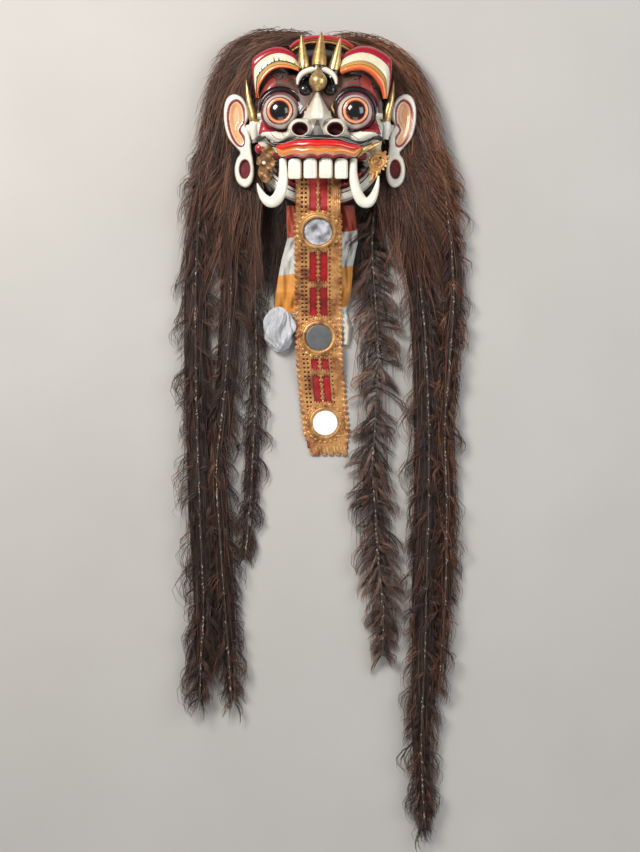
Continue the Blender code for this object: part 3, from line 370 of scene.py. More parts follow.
def hairMaterial(name, dark, mid, light, rough=0.42):
    # Strand colour comes from each strand's own tone and from how far along it a point is
    made, tree, shader = emptyMaterial(name)
    link = tree.links.new
    tone = node(tree, "ShaderNodeAttribute", attribute_name="tone")
    reach = node(tree, "ShaderNodeAttribute", attribute_name="reach")
    base = ramp(tree, tone.outputs["Fac"], [(0.0, dark), (0.55, mid), (1.0, light)])
    tip = ramp(tree, reach.outputs["Fac"], [(0.0, 0.55), (0.7, 1.0), (1.0, 1.5)])
    link(mixed(tree, 1.0, base, tip, "MULTIPLY"), shader.inputs["Base Color"])
    where = node(tree, "ShaderNodeTexCoord")
    fleck = node(tree, "ShaderNodeTexNoise", in_Scale=700.0)
    link(where.outputs["Object"], fleck.inputs["Vector"])
    link(ramp(tree, fleck.outputs["Fac"], [(0.3, rough - 0.1), (0.7, rough + 0.12)]),
         shader.inputs["Roughness"])
    shader.inputs["Specular IOR Level"].default_value = 0.55
    return made


white = (0.80, 0.77, 0.66)
ivory = (0.83, 0.80, 0.70)
blackPaint = (0.010, 0.009, 0.010)
darkRed = (0.16, 0.008, 0.012)
carmine = (0.42, 0.006, 0.022)
orange = (0.76, 0.22, 0.05)
ochre = (0.50, 0.30, 0.085)
plum = (0.11, 0.022, 0.035)
umber = (0.115, 0.062, 0.048)
facePaint = paint("facePaint", attribute="paint", gloss=0.20, grime=0.35, crackle=0.5)
ivoryPaint = paint("ivoryPaint", ivory, gloss=0.14, grime=0.28, crackle=0.25, coat=0.7)
blackGloss = paint("blackGloss", blackPaint, gloss=0.10, grime=0.1, crackle=0.0, coat=0.5, bump=0.0002)
redPaint = paint("redPaint", carmine, gloss=0.2)
darkRedPaint = paint("darkRedPaint", darkRed, gloss=0.2)
leafGold = gold("leafGold", worn=0.25)
spikeGold = gold("spikeGold", bright=(0.72, 0.50, 0.22), dull=(0.44, 0.27, 0.10), rough=0.27, worn=0.3,
                 scale=30.0)
print("materials ready")

# The head: a hollow shell, its front a relief of nose, cheeks, lids and brows

head = {"exponent": 2.5, "wall": 0.013, "rings": (
    (0, 134, 174, 0), (45, 134, 174, 0), (66, 131, 168, -2), (90, 124, 156, -8), (110, 112, 138, -14),
    (128, 96, 114, -18), (142, 72, 84, -20), (151, 40, 48, -20), (153, 2, 3, -20))}
headRings = smooth(head["rings"], 4)


def rimPoint(turn, halfWidth, halfHeight, centre=0.0):
    c, s = math.cos(turn), math.sin(turn)
    power = 2 / head["exponent"]
    return (math.copysign(abs(c) ** power, c) * halfWidth,
            math.copysign(abs(s) ** power, s) * halfHeight + centre)


def headPlace(u, v):
    z, halfWidth, halfHeight, centre = along(headRings, v) * 0.001
    x, y = rimPoint(2 * math.pi * u, halfWidth - 0.0012, halfHeight - 0.0012, centre)
    return (x, y, max(z - 0.001, 0.0))


def headHeight(x, y):
    # Height of the plain head over points in millimetres
    z = np.zeros_like(x) - 20.0
    rings = headRings[::-1]
    inside = np.zeros(x.shape, bool)
    before = None
    for height, halfWidth, halfHeight, centre in rings:
        value = ((np.abs(x) / halfWidth) ** 2.5 + (np.abs(y - centre) / halfHeight) ** 2.5) ** 0.4
        now = value <= 1
        if before is not None:
            share = (before[0] - 1) / np.maximum(before[0] - value, 1e-6)
            z = np.where(now & ~inside, before[1] + (height - before[1]) * share, z)
        else:
            z = np.where(now, height, z)
        inside |= now
        before = (value, height)
    return z


def bump(x, y, centre, radii):
    inner = 1 - ((x - centre[0]) / radii[0]) ** 2 - ((y - centre[1]) / radii[1]) ** 2
    return np.where(inner > 0, centre[2] + radii[2] * np.sqrt(np.maximum(inner, 0)),
                    centre[2] - 60 * np.maximum(-inner, 0))


def blend(a, b, soft=5.0):
    h = np.clip(0.5 + 0.5 * (a - b) / soft, 0, 1)
    return b + (a - b) * h + soft * h * (1 - h)


def noseHeight(x, y):
    # Ridge from between the brows to the tip, and the flat septum below it
    station = np.array((60.0, 50, 38, 16, 0, -10, -18))
    top = np.interp(-y, -station, (150, 160, 175, 193, 208, 206, 186))
    half = np.interp(-y, -station, (3, 6, 12, 21, 25, 24, 18))
    share = np.abs(x) / half
    ridge = top - 9 * np.minimum(share, 1) ** 1.2 - 24 * np.clip(share - 0.45, 0, 0.55) ** 1.4 * 2
    ridge = np.where(share > 1, ridge - (share - 1) * half * 2.2, ridge)
    ridge = np.where(y < -18, ridge - (-18 - y) * 1.9, ridge)
    ridge = np.where(y > 60, ridge - (y - 60) * 1.2, ridge)
    septum = np.interp(-y, (5, 12, 45, 52), (176, 185, 171, 150)) - 0.5 * np.abs(x)
    septum = np.where(np.abs(x) > 16, septum - (np.abs(x) - 16) * 3, septum)
    septum = septum - 4 * np.clip(y + 8, 0, 40)
    return np.maximum(ridge, septum)


def eyePolar(x, y):
    # Millimetres across and up from the nearer eye, and the distance
    dx, dy = np.abs(x) - 77.3, y - 13.5
    return dx, dy, np.hypot(dx, dy)


def faceTurn(x):
    # The features sit a little to one side of the rim, as the mask is turned in the photograph
    return x + 5.1 * (1 - np.minimum(np.abs(x) / 134, 1) ** 4)


def onFace(px, py, lift=0.0):
    # The place on the carved relief that a point of the photo plane falls on
    x, y, z = at(px, py, 0.14)
    for _ in range(4):
        z = float(reliefHeight(np.array([x * 1000]), np.array([y * 1000]))[0]) * 0.001
        x, y, z = at(px, py, z)
    return x, y, z + lift


def reliefHeight(x, y):
    z = headHeight(x, y) - 1.0
    x = faceTurn(x)
    ax = np.abs(x)
    dx, dy, far = eyePolar(x, y)
    z = blend(z, bump(ax, y, (112, -30, 96), (27, 42, 40)), 8)
    z = blend(z, bump(ax, y, (112, 40, 84), (23, 60, 34)), 8)
    roll = bump(ax, y + 5 * np.sin((ax - 60) / 11.0), (86, -37, 141), (36, 14, 23))
    z = blend(z, roll, 3)
    lidFar = np.hypot(dx / 1.0, dy / np.where(dy > 0, 1.5, 1.0))
    lid = 138 - ((lidFar - 41) / 13) ** 2 * 12
    z = np.where(dy > -8, blend(z, lid, 6), z)
    socket = np.clip(40 - far, 0, 40)
    z = z - np.minimum(socket * 0.8, 14)
    z = blend(z, bump(ax, y, (37, -26, 170), (24.5, 21.5, 27)), 6)
    z = blend(z, noseHeight(x, y), 10)
    hole = ((ax - 36.5) / 15.5) ** 2 + ((y + 28) / 12.5) ** 2
    z = np.where(hole < 1.25, z - 34 * np.clip(1.25 - hole, 0, 0.5) * 2, z)
    recess = (ax < 46) & (y > 88)
    z = np.where(recess, z - np.minimum((y - 88) * 0.5, 16), z)
    return z


def reliefPaint(x, y):
    # Colour zones of the face, with painted shade in the septum recess under the nose tip
    x = faceTurn(x)
    ax = np.abs(x)
    dx, dy, far = eyePolar(x, y)
    colour = np.tile(np.array(white), (len(x), 1))

    def lay(mask, tint):
        colour[mask] = tint
    lay((ax < 134) & (y > 20), plum)
    lay((y > 50) & (far > 46), umber)
    lid = (dy > 0) & (far > 40)
    lay(lid & (far < 120), umber)
    lay(lid & (dx > 18 - 0.12 * dy) & (dx < 46 - 0.18 * dy) & (far > 52), (0.26, 0.045, 0.035))
    lay(lid & (np.abs(dx - (18 - 0.12 * dy)) < 1.4) & (far > 52), (0.07, 0.02, 0.015))
    inner = (dx < 0) & (far < 58) & (dy > -22)
    lay(inner & (far < 50), (0.045, 0.020, 0.022))
    lay((far < 43), plum)
    cornerIn = (dy > -43.5 - 0.02 * dx) & (dx > 14) & (dy < -1) & (dx < 40.5 - 0.27 * (dy + 2))
    lay(cornerIn, carmine)
    rimIn = cornerIn & ((dy < -41.5 - 0.02 * dx) | (dx > 38.5 - 0.27 * (dy + 2)))
    lay(rimIn, (0.10, 0.01, 0.015))
    lay((far < 43) & (far > 40.5), blackPaint)
    lay((ax < 44) & (y > 74), blackPaint)
    lay((ax < 62) & (y > 96), blackPaint)
    nose = ((ax < np.interp(-y, (-54, -38, -16, 0, 20), (3, 11, 22, 27, 60))) & (y < 54))
    lay(nose & (y > -60), white)
    wing = ((ax - 37) / 25.5) ** 2 + ((y + 26) / 22.5) ** 2
    lay(wing < 1, white)
    lay((wing > 1) & (wing < 1.10) & (y > -22), (0.20, 0.12, 0.10))
    hole = ((ax - 36.5) / 15.5) ** 2 + ((y + 28) / 12.5) ** 2
    lay(hole < 1.05, (0.10, 0.006, 0.010))
    lay((hole < 1.25) & (hole > 1.05), (0.30, 0.22, 0.18))
    # The grey septum triangle is painted shade of the recess under the nose tip; its dark edge is a painted
    # outline
    septum = (y < -12) & (y > -52) & (ax < 2 + (-12 - y) * 0.47)
    lay(septum, (0.30, 0.28, 0.25))
    lay(septum & (np.abs(ax - (2 + (-12 - y) * 0.47)) < 1.2), (0.07, 0.05, 0.05))
    seam = (np.abs(y + 50 + 6 * np.cos(ax / 14.0)) < 1.4) & (ax > 44) & (ax < 112)
    lay(seam, (0.10, 0.08, 0.07))
    return colour


def paintZones(obj, colours):
    layer = obj.data.color_attributes.new("paint", "FLOAT_COLOR", "POINT")
    layer.data.foreach_set("color", np.hstack([colours,
                                               np.ones((len(colours), 1))]).astype(np.float32).ravel())


def corners(obj):
    found = np.empty(len(obj.data.vertices) * 3)
    obj.data.vertices.foreach_get("co", found)
    return found.reshape(-1, 3)


def buildHead():
    bm = grid(140, 48, headPlace, join=True)
    cut = []
    for face in bm.faces:
        centre = face.calc_center_median() - shift
        x, y = abs(centre.x) * 1000, centre.y * 1000
        if centre.z > 0.05 and -134 < y < -86 and x < 100 - max(0, -100 - y) * 1.3:
            cut.append(face)
    bmesh.ops.delete(bm, geom=cut, context="FACES")
    shell = keep("head_shell", bm, facePaint, ("mask",), wall=head["wall"])
    points = (corners(shell) - np.array(shift)) * 1000
    colours = np.tile(np.array((0.035, 0.018, 0.014)), (len(points), 1))
    colours[(points[:, 1] > 90)] = blackPaint
    colours[(points[:, 1] < -20) & (points[:, 2] > 60)] = (0.20, 0.02, 0.02)
    colours[(points[:, 1] < -20) & (np.abs(points[:, 0]) > 92) & (points[:, 2] > 70)] = white
    paintZones(shell, colours)
    size = 230, 182

    def place(u, v):
        return ((u - 0.5) * 0.264, -0.072 + 0.208 * v, 0.0)
    bm = grid(size[0], size[1], place)
    bmesh.ops.delete(bm, geom=[v for v in bm.verts if headHeight(
        np.array([(v.co.x - shift.x) * 1000]), np.array([(v.co.y - shift.y) * 1000]))[0] < 60],
        context="VERTS")
    for vert in bm.verts:
        vert.co.z = 0.1
    face = keep("face_relief", upward(bm), facePaint, angle=80)
    points = corners(face)
    x, y = (points[:, 0] - shift.x) * 1000, (points[:, 1] - shift.y) * 1000
    points[:, 2] = reliefHeight(x, y) * 0.001
    face.data.vertices.foreach_set("co", points.ravel())
    face.data.update()
    paintZones(face, reliefPaint(x, y))


buildHead()
print("head ready")

# Eyes: painted balls in rolled lids

eye = {"left": -0.0824, "right": 0.0722, "y": 0.0135, "z": 0.135, "lookOut": 2.2, "lookDown": 3.2}
# The eye's bands run from the pupil out to the rim; the white darkens to purple-brown before the plum rim,
# painted shade where the ball sinks into the lid
irisBands = paint("irisPaint", bands=[
    (0.0, (0.004, 0.004, 0.005)), (0.20, (0.006, 0.003, 0.003)), (0.27, (0.10, 0.008, 0.004)),
    (0.31, (0.32, 0.06, 0.02)),
    (0.35, (0.66, 0.23, 0.09)), (0.44, (0.80, 0.36, 0.18)), (0.505, (0.62, 0.20, 0.09)),
    (0.52, (0.08, 0.006, 0.006)),
    (0.60, (0.05, 0.006, 0.006)), (0.625, (0.60, 0.44, 0.40)), (0.68, (0.72, 0.64, 0.56)),
    (0.80, (0.66, 0.56, 0.50)),
    (0.86, (0.42, 0.26, 0.26)), (0.90, plum)], smoothBands=True, gloss=0.03, grime=0.05, crackle=0.1,
    coat=1.0, bump=0.0001)
lidBands = paint("lidPaint", bands=[
    (0.0, plum), (0.10, blackPaint), (0.20, (0.20, 0.03, 0.05)), (0.33, (0.62, 0.50, 0.50)),
    (0.44, (0.20, 0.03, 0.05)),
    (0.52, plum)], axis=0, gloss=0.1, coat=0.8)
eyeProfile = [(0.0001, 0.0508), (0.008, 0.0500), (0.0150, 0.0478), (0.0190, 0.0450), (0.0212, 0.0436),
              (0.0235, 0.0440),
              (0.0262, 0.0426), (0.0280, 0.0390), (0.0300, 0.0352), (0.0322, 0.0310), (0.0352, 0.0235),
              (0.0375, 0.0130),
              (0.0385, 0.0)]


def buildEyes():
    for side, sign in (("left", -1), ("right", 1)):
        centre = (eye[side], eye["y"], eye["z"])
        aim = (Matrix.Rotation(math.radians(sign * eye["lookOut"]), 3, "Y")
               @ Matrix.Rotation(math.radians(eye["lookDown"]), 3, "X"))
        keep(f"eyeball_{side}", turnedForm(eyeProfile, centre, 64, aim), irisBands, angle=70)

        def ring(u, v, centre=centre):
            turn, tube = 2 * math.pi * v, 2 * math.pi * u
            reach = 0.0392 + 0.0030 * math.cos(tube) + 0.0012 * max(math.sin(turn), 0)
            return (centre[0] + reach * math.cos(turn), centre[1] + reach * math.sin(turn),
                    0.1385 + 0.004 * math.sin(turn) + 0.0070 * math.sin(tube))
        keep(f"eye_lid_{side}", grid(20, 96, ring, join=True), lidBands, angle=70)
        arc = []
        for i in range(13):
            turn = math.radians(2 + 176 * i / 12)
            wide = math.sin(math.pi * (i + 0.4) / 12.8) ** 0.8
            arc.append((centre[0] + sign * 0.0450 * math.cos(turn), centre[1] + 0.0465 * math.sin(turn),
                        0.1400 + 0.003 * math.sin(turn), 0.0012 + 0.0042 * wide, 0.002 + 0.0050 * wide))
        keep(f"lid_arc_{side}", rope(arc, 14, 6), blackGloss, angle=70)
        halo = [(centre[0] + sign * 0.0525 * math.cos(math.radians(14 + 150 * i / 10)),
                 centre[1] + 0.0545 * math.sin(math.radians(14 + 150 * i / 10)), 0.1375, 0.0013, 0.004)
                 for i in range(11)]
        keep(f"lid_halo_{side}", rope(halo, 8, 5), darkRedPaint, angle=70)


buildEyes()
print("eyes ready")

# Brows: thick blocks with a red edge, a cream panel, olive and orange bands

browBands = paint("browPaint", bands=[
    (0.0, (0.26, 0.004, 0.016)), (0.12, (0.36, 0.006, 0.022)), (0.24, (0.46, 0.010, 0.032)),
    (0.30, blackPaint), (0.32, (0.78, 0.72, 0.54)),
    (0.60, (0.78, 0.72, 0.54)), (0.615, blackPaint), (0.635, ochre), (0.70, (0.62, 0.34, 0.08)),
    (0.74, (0.16, 0.05, 0.01)),
    (0.755, orange), (0.83, (0.66, 0.10, 0.03)), (0.92, blackPaint), (0.955, umber)], wobble=0.012,
    gloss=0.14)
browOuter = [(342.0, 60.0), (346, 54.5), (353, 50.0), (362, 47.4), (372, 48.6), (381, 52.5), (388, 57.5),
             (390.6, 62),
             (390.4, 74), (388.6, 87), (386.2, 98)]
browInner = [(341.5, 73.5), (347, 71.5), (354, 70.2), (362, 70.0), (369, 72.5), (374.5, 77), (378.5, 82.5),
             (381.5, 87.5), (383, 91), (384.3, 95), (385.2, 98.6)]


def buildBrows():
    outer, inner = smooth(browOuter, 8), smooth(browInner, 8)
    profile = smooth([(0.0, 92), (0.02, 118), (0.10, 127), (0.24, 130), (0.34, 134.5), (0.50, 138.5),
                      (0.62, 140),
                      (0.66, 142), (0.76, 146), (0.88, 148), (0.95, 144), (1.0, 120)], 5)
    for side, sign in (("left", -1), ("right", 1)):
        def place(u, v, sign=sign):
            a, b = along(outer, u), along(inner, u)
            share, z = along(profile, v)
            rolled = min(1.0, 1.2 - u) * min(1.0, 0.72 + u * 3)
            z = 92 + (z - 92) * (0.62 + 0.38 * rolled)
            px, py = a + (b - a) * share
            x, y, z = at(px - 0.4, py, z * 0.001)
            return (x, y, z) if sign > 0 else (-0.965 * x - 0.001, y + 0.002, z)
        keep(f"brow_{side}", grid(72, 46, place), browBands, wall=0.004, angle=70)
        ticks = []
        for i in range(15):
            t = 0.10 + 0.72 * i / 14
            tall = (0.16, 0.07, 0.11, 0.05, 0.14)[i % 5] * (1.3 if 3 < i < 10 else 1.0)
            rows = []
            for k, half in enumerate((0.0013, 0.0008, 0.00015)):
                x, y, z = place(t + 0.006 * ((i % 3) - 1) * k, 0.615 - tall * k / 2)
                rows.append((x, y, z + 0.0011, half * 1.5, 0.0006))
            ticks.append(rope(rows, 6, 3))
        edge = []
        for i in range(40):
            t = 0.03 + 0.92 * i / 39
            x, y, z = place(t, 0.612 - 0.022 * abs(math.sin(t * 30)))
            edge.append((x, y, z + 0.0010, 0.0011, 0.0006))
        ticks.append(rope(edge, 6, 2))
        keep(f"brow_flames_{side}", joined("ticks", ticks), blackGloss, angle=80)


buildBrows()


def line(name, points, z, half, material, deep=0.002, sides=8, mirrorToo=False, steps=6, lift=None):
    # A painted, slightly raised line through photo-plane points
    forms = []
    for sign in ((1, -1) if mirrorToo else (1,)):
        rows = []
        for i, point in enumerate(points):
            height = z if lift is None else lift[i]
            x, y, height = at(point[0], point[1], height)
            width = half if len(point) < 3 else point[2]
            rows.append((sign * x, y, height, width, deep))
        forms.append(rope(rows, sides, steps))
    return keep(name, joined(name, forms), material, angle=80)


# Forehead: crown arch, coronet crescent and the black balls between the brows

archBands = paint("archPaint", bands=[(0.0, (0.40, 0.010, 0.03)), (0.14, (0.46, 0.012, 0.03)),
                                      (0.27, (0.34, 0.006, 0.02)),
                                      (0.33, (0.46, 0.20, 0.07)), (0.60, (0.30, 0.14, 0.05)),
                                      (0.90, (0.30, 0.01, 0.02))],
                  axis=0, gloss=0.2)


def buildForehead():
    arch = [(*at(px, py, 0.100), wide, 0.012) for px, py, wide in (
        (290, 48.5, 0.0045), (297, 43.4, 0.0058), (306, 40.0, 0.0064), (318, 38.4, 0.0066),
        (331, 38.9, 0.0066),
        (343, 42.2, 0.0062), (353.5, 48.0, 0.0045))]
    keep("crown_arch", rope(arch, 20, 8), archBands, angle=70)
    rim = [(*at(px, py, 0.108), 0.0030, 0.004) for px, py in (
        (292, 51.0), (299, 46.6), (307, 43.2), (318, 42.2), (330, 42.6), (341, 45.6), (351, 51.0))]
    keep("crown_arch_rim", rope(rim, 10, 8), leafGold, angle=70)
    crescent = [(297.6, 85, 0.0025), (298.4, 79.5, 0.0050), (301.5, 74.5, 0.0062), (307, 71.2, 0.0066),
                (313, 69.8, 0.0066),
                (319, 69.6, 0.0066), (325, 70.2, 0.0066), (331, 73.0, 0.0062), (335.2, 78.0, 0.0050),
                (336.4, 84.6, 0.0025)]
    line("coronet", crescent, 0.146, 0.006, ivoryPaint, 0.008, 16)
    outer = [(296.0, 86, 0.001), (296.4, 78.5, 0.0016), (300.0, 72.6, 0.0018), (306, 68.4), (312.5, 66.4),
             (319, 66.0),
             (325.5, 66.8), (332, 70.0, 0.0018), (337.0, 76.6, 0.0016), (338.4, 85.6, 0.001)]
    line("coronet_edge", outer, 0.1445, 0.0018, darkRedPaint, 0.004, 10)
    inner = [(301.6, 85.5, 0.0008), (303.4, 79.8), (308, 76.2), (314, 74.4), (319, 74.2), (325, 75.0),
             (330, 78.0),
             (332.6, 84.5, 0.0008)]
    line("coronet_inner", inner, 0.1515, 0.0010, blackGloss, 0.002, 8)
    for side, px in (("left", 305.2), ("right", 330.3)):
        x, y, z = at(px, 90.2, 0.138)
        ball = [(0.0001, 0.0165), (0.0070, 0.0150), (0.0115, 0.0105), (0.0138, 0.0040), (0.0135, -0.004)]
        keep(f"brow_ball_{side}", turnedForm(ball, (x, y, z), 40), blackGloss, angle=80)
    for side, sign in (("left", -1), ("right", 1)):
        wedge = [(*at(320 + sign * 12.8, 103.0, 0.152), 0.0012, 0.002),
                 (*at(320 + sign * 12.4, 108.0, 0.156), 0.0030, 0.003),
                 (*at(320 + sign * 14.4, 113.5, 0.156), 0.0008, 0.002)]
        keep(f"nose_wedge_{side}", rope(wedge, 10, 6), leafGold, angle=80)


buildForehead()
print("brows ready")

# Mouth: moustache line, painted lip, gum and the U of the lower jaw

lipBands = paint("lipPaint", bands=[
    (0.0, (0.30, 0.008, 0.010)), (0.05, (0.60, 0.008, 0.012)), (0.24, (0.68, 0.035, 0.014)),
    (0.34, (0.52, 0.010, 0.010)),
    (0.40, (0.74, 0.13, 0.02)), (0.50, (0.80, 0.27, 0.06)), (0.56, (0.34, 0.16, 0.045)),
    (0.62, (0.40, 0.20, 0.05)),
    (0.66, (0.76, 0.24, 0.05)), (0.84, (0.80, 0.36, 0.12)), (0.90, (0.74, 0.62, 0.46)),
    (0.97, (0.42, 0.010, 0.016))],
    wobble=0.010, gloss=0.10, coat=0.8)
lipTop = [(276.5, 146.6), (281, 145.4), (286, 143.8), (292, 142.4), (298, 141.4), (304, 140.9), (311, 140.6),
          (317.5, 141.0),
          (324, 140.5), (331, 140.8), (338, 141.6), (344, 143.0), (350, 144.8), (355, 145.8), (360, 146.4)]
lipFoot = [(277.2, 149.0), (278.8, 152.4), (281.6, 155.4), (287, 154.2), (295, 152.4), (303, 153.8),
           (311, 152.4), (318, 153.8),
           (325.5, 152.4), (333, 153.8), (341, 152.4), (348.5, 154.0), (354.6, 155.6), (358, 152.4),
           (360, 149.0)]
moustache = [(267.0, 138.4, 0.0018), (271.0, 141.6, 0.0038), (277, 143.2, 0.0052), (283, 142.6, 0.0056),
             (290, 140.2, 0.0056),
             (298, 138.2, 0.0056), (306, 137.4, 0.0056), (317, 137.3, 0.0056), (328, 137.2, 0.0056),
             (338, 137.8, 0.0056),
             (346, 140.0, 0.0056), (354, 142.8, 0.0054), (361, 143.2, 0.0046), (367, 141.4, 0.0034),
             (372.5, 138.4, 0.0016)]
jawBands = paint("jawPaint", bands=[
    (0.0, (0.20, 0.01, 0.01)), (0.06, (0.42, 0.01, 0.02)), (0.12, blackPaint), (0.15, white),
    (0.215, blackPaint), (0.24, white),
    (0.38, (0.50, 0.46, 0.40)), (0.44, white), (0.86, (0.30, 0.02, 0.02)), (0.95, (0.20, 0.01, 0.01))],
    axis=0, gloss=0.15)


def lipFront(x):
    share = min(abs(x) / 0.096, 1.0)
    return 0.184 - 0.038 * share ** 2.2


def buildMouth():
    top, foot = smooth(lipTop, 6), smooth(lipFoot, 6)

    def place(u, v):
        a, b = along(top, u), along(foot, u)
        px, py = a + (b - a) * min(max((v - 0.06) / 0.88, 0.0), 1.0)
        front = lipFront(at(px, py, 0.17)[0])
        beat = min(max(v - 0.02, 0.0), 0.94)
        roll = 0.0042 * abs(math.sin(2.0 * math.pi * beat)) + 0.003 * math.sin(math.pi * v)
        depth = 0.035 * (max(0.0, 0.06 - v) / 0.06) ** 2 + 0.035 * (max(0.0, v - 0.94) / 0.06) ** 2
        return at(px, py, front + roll - depth)
    keep("upper_lip", grid(110, 32, place), lipBands, wall=0.003, angle=75)
    lifts = [lipFront(at(px, py, 0.17)[0]) - 0.001 for px, py, *_ in moustache]
    line("moustache", moustache, 0.18, 0.0056, blackGloss, 0.0046, 14, lift=lifts)
    pale = [(px, py + 0.9 + 0.35 * math.sin(px / 3), 0.0005) for px, py, *_ in moustache[1:-1]]
    line("moustache_line", pale, 0.18, 0.0005, paint("greyLine", (0.55, 0.55, 0.48)), 0.0008, 6,
         lift=[h + 0.0046 for h in lifts[1:-1]])
    for name, drop, half, material in (("gum_edge", 0.0, 0.0010, ivoryPaint), ("gum", 1.3, 0.0022, redPaint),
                                       ("gum_shade", 2.5, 0.0012, darkRedPaint)):
        row = []
        for i in range(81):
            px = 279.2 + 78.6 * i / 80
            swell = abs(math.sin(math.pi * (px - 287.0) / 15.3))
            row.append((px, 155.4 - 1.9 * swell + drop, half))
        line(name, row, 0.168, half, material, 0.0045 - drop * 0.001, 10, steps=1,
             lift=[lipFront(at(p[0], 0, 0.17)[0]) - 0.0005 for p in row])
    back = [(-0.094, -0.0775, 0.128, 0.008, 0.014), (-0.06, -0.078, 0.140, 0.010, 0.020),
            (0.0, -0.078, 0.148, 0.010, 0.022),
            (0.06, -0.078, 0.140, 0.010, 0.020), (0.094, -0.0775, 0.128, 0.008, 0.014)]
    keep("gum_back", rope(back, 16, 8), darkRedPaint, angle=75)
    jaw = [(-0.117, -0.082, 0.086, 0.012, 0.013), (-0.110, -0.102, 0.092, 0.0135, 0.015),
           (-0.096, -0.124, 0.100, 0.0145, 0.016),
           (-0.066, -0.147, 0.1045, 0.0155, 0.0165), (-0.034, -0.157, 0.1045, 0.016, 0.0165),
           (0.0, -0.160, 0.1045, 0.0165, 0.0165),
           (0.034, -0.157, 0.1045, 0.016, 0.0165), (0.066, -0.147, 0.1045, 0.0155, 0.0165),
           (0.096, -0.124, 0.100, 0.0145, 0.016),
           (0.110, -0.102, 0.092, 0.0135, 0.015), (0.117, -0.082, 0.086, 0.012, 0.013)]
    keep("lower_jaw", rope(jaw, 40, 10), jawBands, angle=70)
    corner = [(0.0001, 0.016), (0.006, 0.015), (0.010, 0.010), (0.0115, 0.002), (0.011, -0.01)]
    x, y, z = at(260.4, 148.8, 0.108)
    keep("mouth_corner", turnedForm(corner, (x, y, z), 32), redPaint, angle=75)
    patch = [(*onFace(px, py, -0.0005), half, 0.0032) for px, py, half in (
        (250.6, 144.5, 0.002), (253.5, 141.0, 0.0062), (258, 138.6, 0.0068), (262.5, 137.2, 0.0058),
        (266, 136.6, 0.002))]
    keep("cheek_patch_left", rope(patch, 14, 6), blackGloss, angle=75)
    patch = [(*onFace(px, py, -0.0005), half, 0.0032) for px, py, half in (
        (371.0, 139.6, 0.002), (374, 137.0, 0.0055), (378, 137.4, 0.0058), (381.5, 139.6, 0.0048),
        (384, 143.0, 0.002))]
    keep("cheek_patch_right", rope(patch, 14, 6), blackGloss, angle=75)
    strap = [(*at(px, py, z), half, 0.0022) for px, py, z, half in (
        (357.6, 156.4, 0.150, 0.0030), (361.2, 152.4, 0.153, 0.0046), (366, 149.0, 0.154, 0.0050),
        (372, 146.2, 0.152, 0.0048),
        (378, 143.6, 0.148, 0.0040), (381.4, 141.6, 0.144, 0.0014))]
    keep("mouth_strap", rope(strap, 14, 8), leafGold, angle=75)
    drawn = {
        "patch_lines": (ivoryPaint, 0.0007, (
            ((251.8, 142.4), (256, 139.4), (260.5, 137.6), (265, 136.7)),
            ((372.4, 138.6), (376, 136.4), (380, 137.8), (383, 141.2)))),
        "cheek_cracks": (blackGloss, 0.00035, (
            ((277.5, 129), (280.2, 130.6), (281.6, 133), (284.6, 136.5)),
            ((281.5, 133), (284, 131.4), (286.6, 129.3)),
            ((279.5, 127.3), (281, 129), (280.2, 130.6)))),
        "cheek_outlines": (darkRedPaint, 0.0006, (
            ((269.5, 129.5), (272, 134.5), (276.5, 138.6), (281, 139.2)),
            ((346.5, 129), (350, 133.5), (355, 137), (359, 139.8)),
            ((259, 121.5), (262.5, 126), (269, 128.2), (275, 129.2)),
            ((369, 121.5), (375, 123), (379.5, 126), (381.5, 130)),
            ((290, 129), (291.5, 133), (295.5, 136), (301, 137.2)),
            ((345, 128.5), (343.4, 133), (339.4, 135.8), (334, 137)))),
        "lid_scrolls": (blackGloss, 0.0009, (
            ((271.4, 73), (273, 76.6), (277.8, 79.4), (282, 78.6), (282.2, 75.6), (279.4, 75)),
            ((275, 73.4), (277.6, 76), (281, 73.4), (285, 72.6)),
            ((350.6, 77.6), (354, 79.6), (358.8, 78.8), (361, 75.6), (357.6, 73.6)),
            ((371.4, 83), (374.6, 85), (375.6, 88.4), (372.8, 88)))),
        "lid_red_lines": (redPaint, 0.0008, (
            ((271.2, 76.5), (267.6, 83), (264.6, 90), (262.8, 98)),
            ((365.5, 76.6), (369, 80), (372.4, 90), (376.5, 97)),
            ((281, 81), (286, 80.4), (291.5, 79), (296, 78.6)),
            ((347, 83.6), (352, 82), (357.6, 82), (362, 83.4)))),
    }
    for name, (material, half, lines) in drawn.items():
        forms = [rope([(*onFace(px, py, 0.0003), half, 0.0006) for px, py in smooth(points, 4)], 6, 1)
                 for points in lines]
        keep(name, joined(name, forms), material, angle=75)


buildMouth()


def buildTeeth():
    for i in range(4):
        low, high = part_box(f"tooth_{i + 1}")
        low, high = low - shift, high - shift
        middle, half = (low.x + high.x) / 2, (high.x - low.x) / 2

        def place(u, v, low=low, high=high, middle=middle, half=half):
            turn = 2 * math.pi * u
            c, s = math.cos(turn), math.sin(turn)
            widen = (1.0 - 0.34 * max(0.0, 1 - v * 4) ** 2.4) * (1.0 - 0.20
                    * max(0.0, (v - 0.86) / 0.14) ** 2.6)
            x = math.copysign(abs(c) ** 0.45, c) * half * widen
            z = math.copysign(abs(s) ** 0.6, s) * (high.z - low.z) / 2 * (1 - 0.25 * abs(2 * v - 1) ** 3)
            z -= 0.004 * (x / half) ** 2 if s > 0 else 0.0
            return (middle + x, high.y + (low.y - high.y) * v, (high.z + low.z) / 2 + z)
        bm = grid(40, 26, place, join=True, cap=True)
        keep(f"tooth_form_{i + 1}", bm, ivoryPaint, (f"tooth_{i + 1}",), angle=55)


